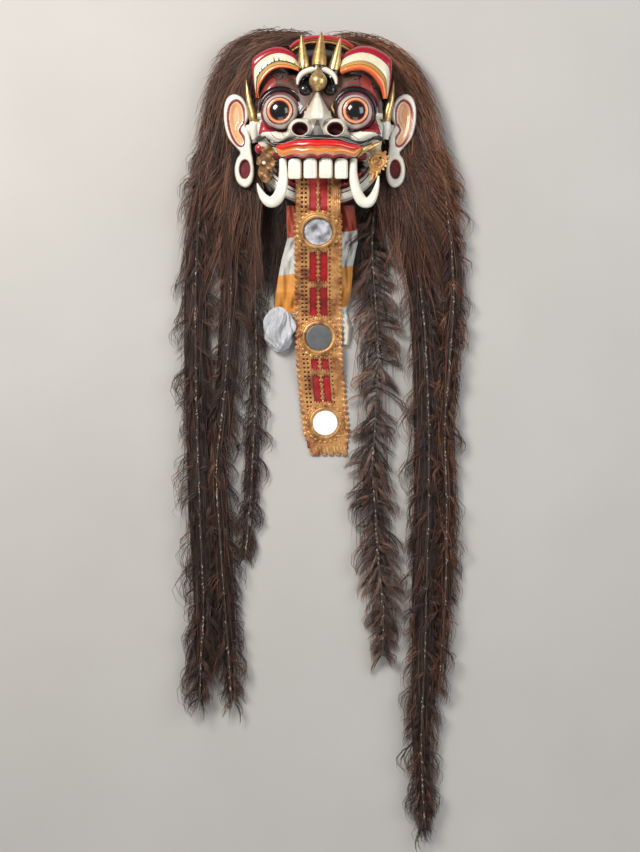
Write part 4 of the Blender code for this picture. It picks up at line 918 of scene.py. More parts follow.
tusks = {  # millimetres: place, half width and half thickness, from the gum to the tip
    "tusk_left": (
        (-77, -87, 146, 8.6, 9), (-76.5, -112, 153, 9.2, 8.5), (-77.5, -136, 157, 10.8, 8.5),
        (-83, -158, 160, 12.2, 8.5), (-92, -172, 160, 12.6, 8.5), (-104, -176.5, 160, 11.8, 8),
        (-116, -168, 158, 9.0, 7.5), (-125, -153, 155, 5.6, 5), (-131, -137, 152, 1.4, 1.8)),
    "tusk_right": (
        (69.8, -87, 146, 8.2, 9), (69.2, -112, 153, 8.8, 8.5), (72, -138, 158, 10.2, 8.5),
        (79, -161, 160, 11.4, 8.5), (89, -175.5, 160, 11.8, 8.5), (101, -177, 160, 11.0, 8),
        (111, -165, 157, 8.8, 7.5), (118.5, -144, 154, 5.4, 5), (122.5, -121, 152, 1.6, 1.8)),
}


def buildTusks():
    for name, rows in tusks.items():
        rows = [tuple(value * 0.001 for value in row) for row in rows]
        keep(f"{name}_form", rope(rows, 24, 8), ivoryPaint, (name,), angle=70)


buildTeeth()
buildTusks()
print("mouth ready")

# Spikes, horns and the drop keep their turned CAD shapes as smoother forms

spikes = {  # foot in millimetres, lean in degrees and radius in metres
    "spike_left": ((-33, 105, 135), 5.0, 0.0115),
    "spike_middle": ((-2.5, 110, 138), -4.5, 0.0155),
    "spike_right": ((28.5, 101, 136), -12.0, 0.0115),
}


def buildGilding():
    for name, (foot, lean, radius) in spikes.items():
        turnTo = (Matrix.Rotation(math.radians(lean), 3, "Z") @ Matrix.Rotation(math.radians(-90), 3, "X"))
        profile = [(radius * r, 0.0003 + 0.074 * h) for r, h in (
            (0.0001, 0.0), (0.88, 0.004), (1.0, 0.05), (1.02, 0.14), (0.94, 0.28), (0.80, 0.43), (0.61, 0.60),
            (0.40, 0.77),
            (0.18, 0.92), (0.0001, 1.0))]
        keep(f"{name}_form", turnedForm(profile, tuple(v * 0.001 for v in foot), 40, turnTo), spikeGold,
             (name,),
             angle=60)
        sleeve = [(radius * r, h) for r, h in ((1.12, -0.018), (1.13, -0.004), (1.06, 0.0), (0.2, 0.0002))]
        keep(f"{name}_socket", turnedForm(sleeve, tuple(v * 0.001 for v in foot), 36, turnTo), blackGloss)
    for side, sign in (("left", -1), ("right", 1)):
        rows = [(sign * (139 + x) * 0.001, y * 0.001, (100 + z) * 0.001, 0.0082 * r, 0.0078 * r) for x, y, z,
                r in (
            (0, 0.3, 0, 1.12), (1.6, 10, 0.6, 1.24), (4, 22, 1.4, 1.16), (9, 38, 3, 0.93), (13, 58, 4, 0.62),
            (15.5, 76, 4, 0.31),
            (17, 88, 3, 0.04))]
        keep(f"horn_{side}_form", rope(rows, 24, 8), spikeGold, (f"horn_{side}",), angle=60)
        seat = [(sign * 0.137, -0.036, 0.096, 0.008, 0.008), (sign * 0.139, -0.012, 0.099, 0.0112, 0.0112),
                (sign * 0.139, 0.0, 0.1, 0.0100, 0.0100)]
        keep(f"horn_{side}_seat", rope(seat, 20, 6), ivoryPaint, angle=60)
    drop = [(0.0187 * r, 0.0187 * h) for r, h in (
        (0.0001, -1.02), (0.30, -0.97), (0.62, -0.80), (0.88, -0.48), (1.0, 0.0), (0.94, 0.36), (0.74, 0.72),
        (0.48, 1.02),
        (0.27, 1.32), (0.12, 1.62), (0.0001, 1.86))]
    turnTo = Matrix.Rotation(math.radians(-90), 3, "X")
    keep("drop_form", turnedForm(drop, (-0.004, 0.073, 0.1674), 48, turnTo), spikeGold,
         ("forehead_drop",), angle=60)


buildGilding()

# Ears: boards with a carved rim, sunk conch and pierced lobe

earOutline = [(37, 78), (54, 69), (61, 43), (59, 11), (50, -18), (34, -37), (25, -49), (33, -63), (37, -87),
              (31, -111),
              (15, -123), (1, -115), (-5, -93), (-3, -66), (1, -42), (2, -21), (7, 0), (13, 11), (7, 27),
              (9, 48), (19, 68)]
earConch = [(35, 62), (45, 54), (50, 34), (48, 8), (40, -16), (29, -31), (20, -33), (16, -24), (21, -12),
            (27, -2), (24, 8),
            (19, 14), (17, 30), (20, 48), (27, 59)]


def closedCurve(points, steps=6):
    points = list(points)
    return smooth(points[-2:] + points + points[:3], steps)[2 * steps:-(2 * steps + 1)]


def distanceTo(points, outline):
    # Distance to a closed outline, the nearest point, and whether a point is inside
    ends = np.roll(outline, -1, axis=0)
    best = np.full(len(points), 1e9)
    near = np.zeros_like(points)
    inside = np.zeros(len(points), bool)
    for a, b in zip(outline, ends):
        d = b - a
        t = np.clip(((points - a) @ d) / max(d @ d, 1e-12), 0, 1)
        spot = a + t[:, None] * d
        gap = np.hypot(*(points - spot).T)
        closer = gap < best
        best[closer] = gap[closer]
        near[closer] = spot[closer]
        crosses = (a[1] > points[:, 1]) != (b[1] > points[:, 1])
        with np.errstate(divide="ignore", invalid="ignore"):
            cut = (b[0] - a[0]) * (points[:, 1] - a[1]) / (b[1] - a[1]) + a[0]
        inside ^= crosses & (points[:, 0] < cut)
    return best, near, inside


def board(name, outline, holes, step, height, material, replaced, thick, mirrorX=False, colours=None):
    # A flat board cut to an outline, with a carved face; height and colours are functions of plan points
    outline = np.array(outline)
    low, high = outline.min(0) - step, outline.max(0) + step
    columns, rows = (np.ceil((high - low) / step)).astype(int)
    bm = bmesh.new()
    bmesh.ops.create_grid(bm, x_segments=int(columns), y_segments=int(rows), size=0.5)
    for vert in bm.verts:
        vert.co = (low[0] + (vert.co.x + 0.5) * (high[0] - low[0]),
                   low[1] + (vert.co.y + 0.5) * (high[1] - low[1]), 0)
    shapes = [(outline, True)] + [(np.array(hole), False) for hole in holes]
    bm.verts.index_update()
    plan = np.array([v.co[:2] for v in bm.verts])
    keepIt = np.ones(len(plan), bool)
    for shape, wanted in shapes:
        keepIt &= distanceTo(plan, shape)[2] == wanted
    gone = [face for face in bm.faces if not all(keepIt[v.index] for v in face.verts)]
    bmesh.ops.delete(bm, geom=gone, context="FACES")
    bmesh.ops.delete(bm, geom=[v for v in bm.verts if not v.link_faces], context="VERTS")
    live = list(bm.verts)
    spots = np.array([v.co[:2] for v in live])
    fields = [distanceTo(spots, shape)[:2] for shape, wanted in shapes]
    for i, vert in enumerate(live):
        if vert.is_boundary:
            k = min(range(len(fields)), key=lambda j: fields[j][0][i])
            if fields[k][0][i] < step * 1.5:
                spots[i] = fields[k][1][i]
    heights = height(spots)
    for vert, spot, z in zip(live, spots, heights):
        vert.co = Vector(((-spot[0] if mirrorX else spot[0]), spot[1], z)) + shift
    bmesh.ops.recalc_face_normals(bm, faces=bm.faces)
    obj = keep(name, upward(bm), material, replaced, wall=thick, angle=50)
    if colours is not None:
        paintZones(obj, colours(spots))
    return obj


def buildEars():
    share = 0.001
    outline = closedCurve(earOutline) * share + np.array((0.1453, -0.012))
    conch = closedCurve(earConch) * share + np.array((0.1453, -0.012))
    turn = np.linspace(0, 2 * math.pi, 40, endpoint=False)
    lobe = np.array([(0.1453 + 0.0152 + 0.0118 * math.cos(t), -0.096 + 0.0205 * math.sin(t)) for t in turn])

    def height(spots):
        edge = distanceTo(spots, outline)[0]
        gap, _, inside = distanceTo(spots, conch)
        z = 0.0745 - 0.16 * np.maximum(spots[:, 0] - 0.145, 0)
        z = z - 0.0035 * np.clip(1 - edge / 0.005, 0, 1) ** 2
        groove = np.exp(-(gap / 0.0022) ** 2) * 0.0022
        bowl = np.where(inside, -0.0065 * np.clip(gap / 0.010, 0, 1) ** 0.8, 0.0)
        return z - groove + bowl

    def colours(spots):
        edge = distanceTo(spots, outline)[0]
        gap, _, inside = distanceTo(spots, conch)
        lobeGap = distanceTo(spots, lobe)[0]
        tint = np.tile(np.array(ivory), (len(spots), 1))
        deep = np.clip(gap / 0.012, 0, 1)[:, None]
        flesh = np.array((0.78, 0.36, 0.15)) * deep + np.array((0.86, 0.52, 0.30)) * (1 - deep)
        tint[inside] = flesh[inside]
        tint[(gap < 0.0013) & inside] = (0.16, 0.03, 0.03)
        tint[(gap < 0.0042) & ~inside & (spots[:, 0] > 0.160)] = (0.42, 0.10, 0.10)
        tint[(gap < 0.0018) & ~inside] = (0.20, 0.03, 0.05)
        tint[(edge < 0.0014) & (spots[:, 1] > -0.05) & (spots[:, 0] > 0.17)] = (0.22, 0.06, 0.10)
        tint[lobeGap < 0.0016] = (0.34, 0.16, 0.10)
        return tint
    for side, flip in (("left", True), ("right", False)):
        board(f"ear_board_{side}", outline, [lobe], 0.0013, height, facePaint,
              (f"ear_{side}",), 0.013, flip, colours)
        sign = -1 if flip else 1
        cup = [(0.0001, -0.004), (0.006, -0.0035), (0.011, -0.001), (0.0135, 0.0025)]
        bm = turnedForm(cup, (0, 0, 0), 32)
        bmesh.ops.scale(bm, vec=(1.0, 1.72, 1.0), verts=bm.verts, space=Matrix.Translation(-shift))
        bmesh.ops.translate(bm, vec=(sign * 0.1605, -0.096, 0.0615), verts=bm.verts)
        keep(f"lobe_lining_{side}", bm, darkRedPaint, angle=70)
        lug = [(sign * 0.128, -0.012, 0.064, 0.014, 0.006), (sign * 0.150, -0.012, 0.066, 0.013, 0.006),
               (sign * 0.160, -0.010, 0.066, 0.010, 0.004)]
        keep(f"ear_lug_{side}", rope(lug, 16, 6), ivoryPaint, angle=60)


buildEars()
print("ears ready")

# Cut leather sprays at the corners of the mouth

hide = gold("cutHide", bright=(0.36, 0.18, 0.065), dull=(0.09, 0.035, 0.015), rough=0.42, metal=0.45,
            worn=0.5, emboss=0.6)
paleHide = gold("paleHide", bright=(0.72, 0.40, 0.15), dull=(0.28, 0.11, 0.04), rough=0.36, metal=0.55,
                worn=0.4, emboss=0.6)


def buildSprays():
    right = []
    for i in range(96):
        turn = 2 * math.pi * i / 96
        spike = 0.5 + 0.5 * math.cos(14 * turn)
        reach = 0.0175 + 0.0065 * spike ** 1.5 + 0.006 * max(0.0, math.cos(turn - 0.9)) ** 4
        reach += 0.016 * max(0.0, math.cos(turn + 1.9)) ** 14
        right.append((0.121 + reach * math.cos(turn), -0.088 + reach * math.sin(turn)))

    def circle(x, y, r):
        return [(x + r * math.cos(t), y + r * math.sin(t)) for t in np.linspace(0, 6.28, 14, endpoint=False)]
    holes = [circle(0.127, -0.080, 0.0024), circle(0.134, -0.082, 0.0018), circle(0.118, -0.096, 0.0016),
             circle(0.112, -0.084, 0.0014)]

    def dome(spots):
        far = np.hypot(spots[:, 0] - 0.121, spots[:, 1] + 0.088)
        return 0.1290 - 0.10 * far + 0.0012 * np.cos(far * 900)
    board("spray_right", right, holes, 0.0009, dome, paleHide, ("mouth_ornament_right",),
          0.0016)
    left = [(0.104, -0.056), (0.116, -0.052), (0.124, -0.060), (0.121, -0.072), (0.130, -0.078),
            (0.134, -0.092), (0.127, -0.098),
            (0.131, -0.112), (0.124, -0.126), (0.113, -0.133), (0.103, -0.128), (0.100, -0.116),
            (0.108, -0.108), (0.097, -0.102),
            (0.094, -0.088), (0.102, -0.082), (0.094, -0.072), (0.098, -0.062)]
    left = closedCurve(left, 5)
    holes = [circle(0.112, -0.068, 0.003), circle(0.118, -0.090, 0.0045), circle(0.108, -0.096, 0.002),
             circle(0.116, -0.117, 0.003)]
    board("spray_left", left, holes, 0.0010,
          lambda spots: 0.1285 + 0.0022 * np.sin(spots[:, 1] * 260) * np.cos(spots[:, 0] * 210),
          hide, ("mouth_ornament_left",), 0.0016, True)
    curls = []
    for sign, points in ((1, ((0.112, -0.112), (0.110, -0.124), (0.103, -0.132))),
                         (1, ((0.121, -0.108), (0.118, -0.120), (0.112, -0.128))),
                         (1, ((0.096, -0.062), (0.106, -0.066), (0.118, -0.060)))):
        curls.append(rope([(x * sign, y, 0.128, 0.0028 - 0.0006 * k, 0.0018) for k,
                           (x, y) in enumerate(points)], 8, 5))
    keep("spray_curls", joined("curls", curls), paleHide, angle=70)


buildSprays()
print("sprays ready")

# Tongue: bent as it lies, from inside the mouth down over the scarf to the ground

tongue = {"slope": math.radians(26.3), "rootRun": 0.084, "middleRun": 0.080, "endRun": 0.128,
          "firstBend": 0.020,
          "secondBend": 0.045, "lastSlope": math.radians(10), "jaw": 0.122, "scarf": 0.015, "rootY": -0.095,
          "width": 0.1015, "step": 0.00135,
          "holeColumns": ((-26.6, -24.0), (-20.4, -17.6), (17.6, 19.4)), "holeBeat": 7, "holeCells": 3.4}


def tongueLegs():
    t = tongue
    slopeRun = (t["jaw"] - t["scarf"] - (t["firstBend"] + t["secondBend"])
                * (1 - math.cos(t["slope"]))) / math.sin(t["slope"])
    lastRun = (t["scarf"] - 2 * t["firstBend"] * (1 - math.cos(t["lastSlope"]))) / math.sin(t["lastSlope"])
    return ((t["rootRun"], 0), (t["firstBend"] * t["slope"], t["slope"]), (slopeRun, 0),
            (t["secondBend"] * t["slope"], -t["slope"]), (t["middleRun"], 0),
            (t["firstBend"] * t["lastSlope"], t["lastSlope"]),
            (lastRun, 0), (t["firstBend"] * t["lastSlope"], -t["lastSlope"]), (t["endRun"], 0))


legs = tongueLegs()
tongueLength = sum(leg[0] for leg in legs)
legStarts = [sum(leg[0] for leg in legs[:i]) for i in range(len(legs))]
mirrorRadii = (0.0310, 0.0285, 0.0275)
mirrorPlaces = (legStarts[2] + mirrorRadii[0] + 0.0153, legStarts[4] + 0.52 * tongue["middleRun"],
                legStarts[8] + 0.45 * tongue["endRun"])


def tongueMiddle(distance):
    y, z, slope, left = tongue["rootY"], tongue["jaw"] + 0.0003, 0.0, distance
    for length, turn in legs:
        step = min(left, length)
        if turn and step > 0:
            part, radius = turn * step / length, length / turn
            y -= radius * (math.sin(slope + part) - math.sin(slope))
            z -= radius * (math.cos(slope) - math.cos(slope + part))
            slope += part
        else:
            y -= step * math.cos(slope)
            z -= step * math.sin(slope)
        left -= step
        if left <= 0:
            break
    return y, z, slope


def tonguePoint(distance, across, lift):
    y, z, slope = tongueMiddle(max(distance, 0.0))
    drift = float(np.interp(distance, (0.0, 0.30, 0.42, 0.52, 0.62, 0.80),
                            (-0.004, -0.004, -0.002, 0.006, 0.017, 0.040)))
    return (drift + across, y - lift * math.sin(slope), z + lift * math.cos(slope))


windows = []  # low and high distance and across of each opening
for start, end in ((0.004, mirrorPlaces[0] - 0.040),
                   (mirrorPlaces[0] + 0.043, 0.5 * (mirrorPlaces[0] + mirrorPlaces[1]) - 0.002),
                   (0.5 * (mirrorPlaces[0] + mirrorPlaces[1]) + 0.003, mirrorPlaces[1] - 0.043),
                   (mirrorPlaces[1] + 0.041, mirrorPlaces[1] + 0.073),
                   (mirrorPlaces[1] + 0.078, mirrorPlaces[2] - 0.041)):
    windows += [(start, end, -0.0185, -0.0028), (start, end, 0.0033, 0.0190)]
leather = gold("tongueLeather", bright=(0.66, 0.33, 0.115), dull=(0.25, 0.075, 0.028), rough=0.36, metal=0.45,
               scale=40.0,
               worn=0.42, emboss=1.0, embossScale=330.0)
redSilk = cloth("redSilk", colour=(0.44, 0.001, 0.006), rough=0.42, sheen=0.0, soil=0.6)
holeShade = cloth("holeShade", colour=(0.016, 0.006, 0.006), rough=0.8, sheen=0.1)


def buildTongue():
    step = tongue["step"]
    rows, columns = int(tongueLength / step), int(tongue["width"] / step)
    bm = bmesh.new()
    bm.loops.layers.uv.new("UVMap")
    bmesh.ops.create_grid(bm, x_segments=columns, y_segments=rows, size=0.5, calc_uvs=True)

    def nearMirror(distance, across, extra):
        return any(math.hypot(distance - place, across) < radius + extra for place,
                   radius in zip(mirrorPlaces, mirrorRadii))
    gone = []
    for face in bm.faces:
        spot = face.calc_center_median()
        distance, across = (0.5 - spot.y) * tongueLength, spot.x * tongue["width"]
        if nearMirror(distance, across, 0.010):
            continue
        for start, end, left, right in windows:
            wave = 0.0016 * math.sin(distance * 620) if abs(left) < 0.01 or abs(right) < 0.01 else 0.0
            inner = -1 if left < -0.01 else 1
            lowSide = left - (wave if inner > 0 else 0)
            highSide = right + (wave if inner < 0 else 0)
            point = 0.006 * abs(math.sin((across - left) / (right - left) * 3 * math.pi))
            if start + point < distance < end - point and lowSide < across < highSide:
                gone.append(face)
                break
        else:
            beat = (distance / step) % tongue["holeBeat"]
            inColumn = any(low < across / step < high for low, high in tongue["holeColumns"])
            pierced = inColumn and beat < tongue["holeCells"] and 0.02 < distance < tongueLength - 0.05
            if pierced and not nearMirror(distance, across, 0.016):
                gone.append(face)
    bmesh.ops.delete(bm, geom=gone, context="FACES")
    for vert in bm.verts:
        distance, across = (0.5 - vert.co.y) * tongueLength, vert.co.x * tongue["width"]
        if abs(across) > 0.040:
            beat = (distance / 0.0125) % 1.0
            leaf = 0.0062 * (1 - beat) ** 0.8 if across < 0 else 0.0052 * abs(math.sin(math.pi * beat)) ** 0.7
            left = tongueLength - distance
            taper = min(1.0, 0.70 + left * 6.0)
            edge = (0.0465 + leaf) * taper
            if distance < 0.10:
                edge = min(edge, 0.0475)
            across = math.copysign(0.040 * taper + (abs(across) - 0.040) / 0.0108 * (edge - 0.040 * taper),
                                   across)
        if tongueLength - distance < 0.012:
            distance += 0.006 * math.sin(across * 420) * (1 - (tongueLength - distance) / 0.012)
        curl = 0.0016 * math.sin(distance * 500) * max(0.0, (abs(across) - 0.040) / 0.0108)
        emboss = 0.0004 * math.cos(across * 1500) * (abs(across) > 0.022)
        vert.co = Vector(tonguePoint(distance, across, 0.0046 + curl + emboss)) + shift
    keep("tongue_hide", upward(bm), leather, ("tongue_leather",), wall=0.0022, angle=45)

    def backing(u, v):
        distance = (tongueLength - 0.016) * (1 - v)
        wrinkle = 0.0005 * math.sin(distance * 210 + 3 * u)
        return tonguePoint(distance, (u - 0.5) * 0.088, 0.0017 + wrinkle)
    lining = keep("tongue_lining", upward(grid(24, 220, backing)), redSilk, ("tongue_cloth",),
                  wall=0.0012)
    for k, (across, wide) in enumerate(((-0.0305, 0.020), (0.0235, 0.006))):
        def shade(u, v, across=across, wide=wide):
            return tonguePoint((tongueLength - 0.03) * (1 - v), across + (u - 0.5) * wide, 0.0031)
        keep(f"tongue_shade_{k + 1}", upward(grid(4, 220, shade)), holeShade)
    ribs = []
    for start, end, left, right in windows[::2]:
        count = max(2, int((end - start) / 0.010))
        for i in range(count):
            distance = start + (end - start) * (i + 0.5) / count
            rows = [(*tonguePoint(distance + (k - 1) * 0.0032, 0.0003, 0.0052), 0.0011 + 0.0014 * (k == 1),
                     0.0010) for k in range(3)]
            ribs.append(rope(rows, 8, 3))
    keep("tongue_rib_beads", joined("ribs", ribs), paleHide, angle=70)
    fringe = []
    for i in range(9):
        across = -0.026 + 0.0075 * i
        rows = [(*tonguePoint(tongueLength - 0.020, across, 0.0052), 0.0030, 0.0008),
                (*tonguePoint(tongueLength - 0.006, across + 0.0018, 0.0054), 0.0022, 0.0008),
                (*tonguePoint(tongueLength + 0.002 - 0.003 * (i % 2), across + 0.006, 0.0040), 0.0003,
                 0.0005)]
        fringe.append(rope(rows, 8, 4))
    keep("tongue_tip_curls", joined("tip", fringe), paleHide, angle=70)


def glassMaterial(name, tint, rough, paintedReflectionDepth):
    # Mirror glass whose base colour is a painted reflection: noise clouds of lighter and darker tint stand in
    # for what the glass reflects
    made, tree, shader = emptyMaterial(name)
    link = tree.links.new
    where = node(tree, "ShaderNodeTexCoord")
    cloud = node(tree, "ShaderNodeTexNoise", in_Scale=48.0, in_Detail=5.0)
    link(where.outputs["Object"], cloud.inputs["Vector"])
    darker = tuple(c * (1 - paintedReflectionDepth) for c in tint)
    link(ramp(tree, cloud.outputs["Fac"], [(0.34, darker), (0.62, tint)]), shader.inputs["Base Color"])
    link(ramp(tree, cloud.outputs["Fac"], [(0.3, rough + 0.16), (0.65, rough)]), shader.inputs["Roughness"])
    shader.inputs["Metallic"].default_value = 1.0
    return made


def buildMirrors():
    # Each tint is a painted reflection: grey with strong clouds, dark grey, and a plain white disc without
    # metal for a bright reflection
    glasses = (glassMaterial("mirrorOne", (0.46, 0.46, 0.49), 0.10, 0.74),
               glassMaterial("mirrorTwo", (0.20, 0.205, 0.215), 0.30, 0.35),
               glassMaterial("mirrorThree", (1.0, 1.0, 1.0), 0.30, 0.02))
    for glass, metal in zip(glasses, (0.85, 0.5, 0.0)):
        glass.node_tree.nodes["Principled BSDF"].inputs["Metallic"].default_value = metal
    lift = 0.0046
    for i, (distance, radius) in enumerate(zip(mirrorPlaces, mirrorRadii)):
        slope = tongueMiddle(distance)[2]
        centre = Vector(tonguePoint(distance, 0.0, lift))
        turnTo = Matrix.Rotation(slope, 3, "X")
        ring = [(radius - 0.0008, 0.0016), (radius + 0.0002, 0.0042), (radius + 0.0020, 0.0060),
                (radius + 0.0045, 0.0066),
                (radius + 0.0070, 0.0056), (radius + 0.0082, 0.0034), (radius + 0.0094, 0.0040),
                (radius + 0.0112, 0.0030),
                (radius + 0.0120, 0.0004)]
        forms = [turnedForm(ring, tuple(centre), 72, turnTo)]
        beads = 52
        for k in range(beads):
            turn = 2 * math.pi * k / beads
            spot = centre + turnTo @ Vector(((radius + 0.0096) * math.cos(turn),
                                             (radius + 0.0096) * math.sin(turn), 0.0034))
            forms.append(turnedForm([(0.0001, 0.0017), (0.0011, 0.0011), (0.0015, 0.0)], tuple(spot), 6,
                                    turnTo))
        petals = 24
        for k in range(petals):
            turn = 2 * math.pi * (k + 0.5 * (i == 1)) / petals
            aim = Vector((math.cos(turn), math.sin(turn), 0))
            side = Vector((-math.sin(turn), math.cos(turn), 0))
            rows = []
            for reach, lean, half, high in ((0.0110, 0.0, 0.0044, 0.0012), (0.0140, 0.0010, 0.0038, 0.0018),
                                            (0.0162, 0.0022, 0.0014, 0.0008)):
                spot = centre + turnTo @ (aim * (radius + reach) + side * lean + Vector((0, 0, high)))
                rows.append((*spot, half, 0.0009))
            forms.append(rope(rows, 8, 3))
        keep(f"mirror_ring_{i + 1}", joined("ring", forms), paleHide, (f"mirror_frame_{i + 1}",),
             angle=60)
        disc = [(0.0001, 0.0036), (radius * 0.6, 0.0036), (radius - 0.0028, 0.0035),
                (radius - 0.0008, 0.0028), (radius - 0.0006, 0.0016)]
        keep(f"mirror_glass_{i + 1}", turnedForm(disc, tuple(centre), 72, turnTo), glasses[i],
             (f"mirror_{i + 1}",), angle=50)


buildTongue()
buildMirrors()
print("tongue ready")

# Scarf: one wide striped cloth on the nape hair, its lower corner gathered into a knot

scarf = {"start": -0.168, "end": -0.468, "rows": 150, "columns": 76}
silkBands = cloth("stripedSilk", bands=[
    (0.0, (0.76, 0.72, 0.62)), (0.245, (0.78, 0.76, 0.68)), (0.25, (0.72, 0.27, 0.030)),
    (0.53, (0.78, 0.34, 0.050)), (0.535, (0.64, 0.65, 0.60)),
    (0.79, (0.76, 0.75, 0.70)), (0.795, (0.44, 0.055, 0.008)), (1.0, (0.36, 0.035, 0.006))], rough=0.42,
    sheen=0.3, soil=0.35)
silverSilk = cloth("paleSilk", colour=(0.56, 0.57, 0.60), rough=0.26, sheen=0.1, soil=0.35)


def scarfPlace(u, v):
    bulge = 0.011 * (2 * u - 1) * math.sqrt(math.sin(math.pi * v))
    y = scarf["end"] + (scarf["start"] - scarf["end"]) * v + bulge
    left = np.interp(-y, (0.17, 0.24, 0.285, 0.32, 0.36, 0.395, 0.41, 0.47),
                     (-0.073, -0.071, -0.083, -0.090, -0.096, -0.099, -0.052, -0.040))
    right = np.interp(-y, (0.17, 0.22, 0.25, 0.295, 0.35, 0.392, 0.43, 0.47),
                      (0.074, 0.081, 0.081, 0.0715, 0.068, 0.057, 0.071, 0.062))
    base = np.interp(-y, (0.17, 0.355, 0.39, 0.47), (0.0265, 0.0265, 0.0135, 0.0095))
    lowest = np.interp(-y, (0.17, 0.355, 0.39), (0.0205, 0.0205, 0.0012))
    x = left + (right - left) * u
    folds = (0.0034 * math.sin(u * 21 + 7 * v + 1.5 * math.sin(v * 9)) + 0.0020
             * math.sin(u * 43 - 17 * v + 2 * math.sin(v * 13))
             + 0.0010 * math.sin(u * 80 + 30 * v))
    edge = 0.0030 * (1 - min(1.0, min(u, 1 - u) / 0.06)) ** 2
    underTongue = max(0.0, 1 - abs(x - 0.004) / 0.062) * (0.0035 if y < -0.36 else 0.0)
    return (x, y, max(base + folds - edge * 2 - underTongue, lowest))


def buildScarf():
    bm = upward(grid(scarf["columns"], scarf["rows"], scarfPlace))
    piece = keep("scarf_cloth", bm, silkBands, ("scarf",), wall=0.0010, angle=80)
    seam = []
    for k in range(2):
        rows = []
        for i in range(12):
            x, y, z = scarfPlace(0.90 + 0.014 * k, 0.52 + 0.25 * i / 11)
            rows.append((x, y, z + 0.0004, 0.0005, 0.0005))
        seam.append(rope(rows, 6, 4))
    keep("scarf_seam", joined("seam", seam), cloth("seamThread", colour=(0.42, 0.36, 0.28)),
         angle=80)

    def pouf(u, v):
        turn, rise = 2 * math.pi * u, math.pi * v
        around = math.sin(rise)
        pinch = (0.16 * math.sin(turn * 4 + 2.8 * math.sin(rise * 2)) + 0.20
                 * abs(math.sin(turn * 4.5 + 4 * v + 1.7 * math.sin(v * 8)))
                 + 0.15 * abs(math.sin(turn * 7.5 - 7 * v + math.sin(v * 11))) - 0.26)
        out = around * (1 + pinch * min(1.0, around * 1.6))
        x = -0.0885 + 0.0325 * out * math.cos(turn)
        z = 0.0175 + 0.0195 * out * math.sin(turn)
        y = -0.3895 + (math.cos(rise) - 1) * 0.0450 + 0.004 * math.sin(turn * 3)
        return (x, y, max(z, 0.0008))
    knot = keep("scarf_pouf", grid(160, 70, pouf, join=True), silverSilk, ("scarf_knot",),
                angle=60)


buildScarf()
print("scarf ready")

# Hair: strands are curves with a three-sided section, made into meshes

hair = {"points": 5, "thick": 0.00068, "tuftStrands": 9,
        "crownStrands": 4000, "crownPoints": 9, "crownThick": 0.00075, "clumps": 150, "wisps": 420,
        "napeStrands": 1300, "napePoints": 6, "napeThick": 0.00070}
section = bpy.data.curves.new("strandSection", "CURVE")
section.dimensions = "2D"
edge = section.splines.new("POLY")
edge.points.add(2)
for k in range(3):
    edge.points[k].co = (math.cos(k * 2.094), math.sin(k * 2.094), 0, 1)
edge.use_cyclic_u = True
sectionObject = bpy.data.objects.new("strandSection", section)
bpy.context.scene.collection.objects.link(sectionObject)
darkHair = hairMaterial("darkHair", dark=(0.016, 0.008, 0.006), mid=(0.085, 0.038, 0.024),
                        light=(0.30, 0.135, 0.075), rough=0.44)
redHair = hairMaterial("redHair", dark=(0.022, 0.009, 0.006), mid=(0.125, 0.047, 0.024),
                       light=(0.42, 0.17, 0.075), rough=0.42)
plumeHair = hairMaterial("plumeHair", dark=(0.022, 0.011, 0.009), mid=(0.110, 0.054, 0.038),
                         light=(0.36, 0.20, 0.14), rough=0.40)


def strands(name, paths, radii, tones, material, replaced=()):
    # paths: strands by points by 3, in design metres
    curve = bpy.data.curves.new(name, "CURVE")
    curve.dimensions = "3D"
    curve.bevel_mode = "OBJECT"
    curve.bevel_object = sectionObject
    count, points = paths.shape[:2]
    paths = paths + np.array(shift)
    paths[:, :, 2] = np.maximum(paths[:, :, 2], 0.0009)
    full = np.ones((count, points, 4))
    full[:, :, :3] = paths
    for i in range(count):
        spline = curve.splines.new("POLY")
        spline.points.add(points - 1)
        spline.points.foreach_set("co", full[i].ravel())
        spline.points.foreach_set("radius", radii[i])
    holder = bpy.data.objects.new(name + "_curve", curve)
    bpy.context.scene.collection.objects.link(holder)
    graph = bpy.context.evaluated_depsgraph_get()
    mesh = bpy.data.meshes.new_from_object(holder.evaluated_get(graph))
    bpy.data.objects.remove(holder, do_unlink=True)
    mesh.name = name
    obj = bpy.data.objects.new(name, mesh)
    bpy.context.scene.collection.objects.link(obj)
    each = len(mesh.vertices) // count
    tone = mesh.attributes.new("tone", "FLOAT", "POINT")
    tone.data.foreach_set("value", np.repeat(tones, each).astype(np.float32))
    reach = mesh.attributes.new("reach", "FLOAT", "POINT")
    ring = np.repeat(np.linspace(0, 1, points), each // points)
    reach.data.foreach_set("value", np.tile(ring, count).astype(np.float32))
    finished(obj, material, replaced, angle=180)
    print(name, count, "strands", len(mesh.polygons), "faces")
    return obj


def spineAt(spine, t):
    place = np.clip(t, 0, 1) * (len(spine) - 1)
    i = np.minimum(place.astype(int), len(spine) - 2)
    return spine[i] + (spine[i + 1] - spine[i]) * (place - i)[:, None]


def taper(count, points, thick):
    shape = np.interp(np.linspace(0, 1, points), (0, 0.25, 0.75, 1), (0.75, 1.0, 0.62, 0.06))
    return (thick * dice.uniform(0.6, 1.3, (count, 1)) * shape).astype(np.float32)


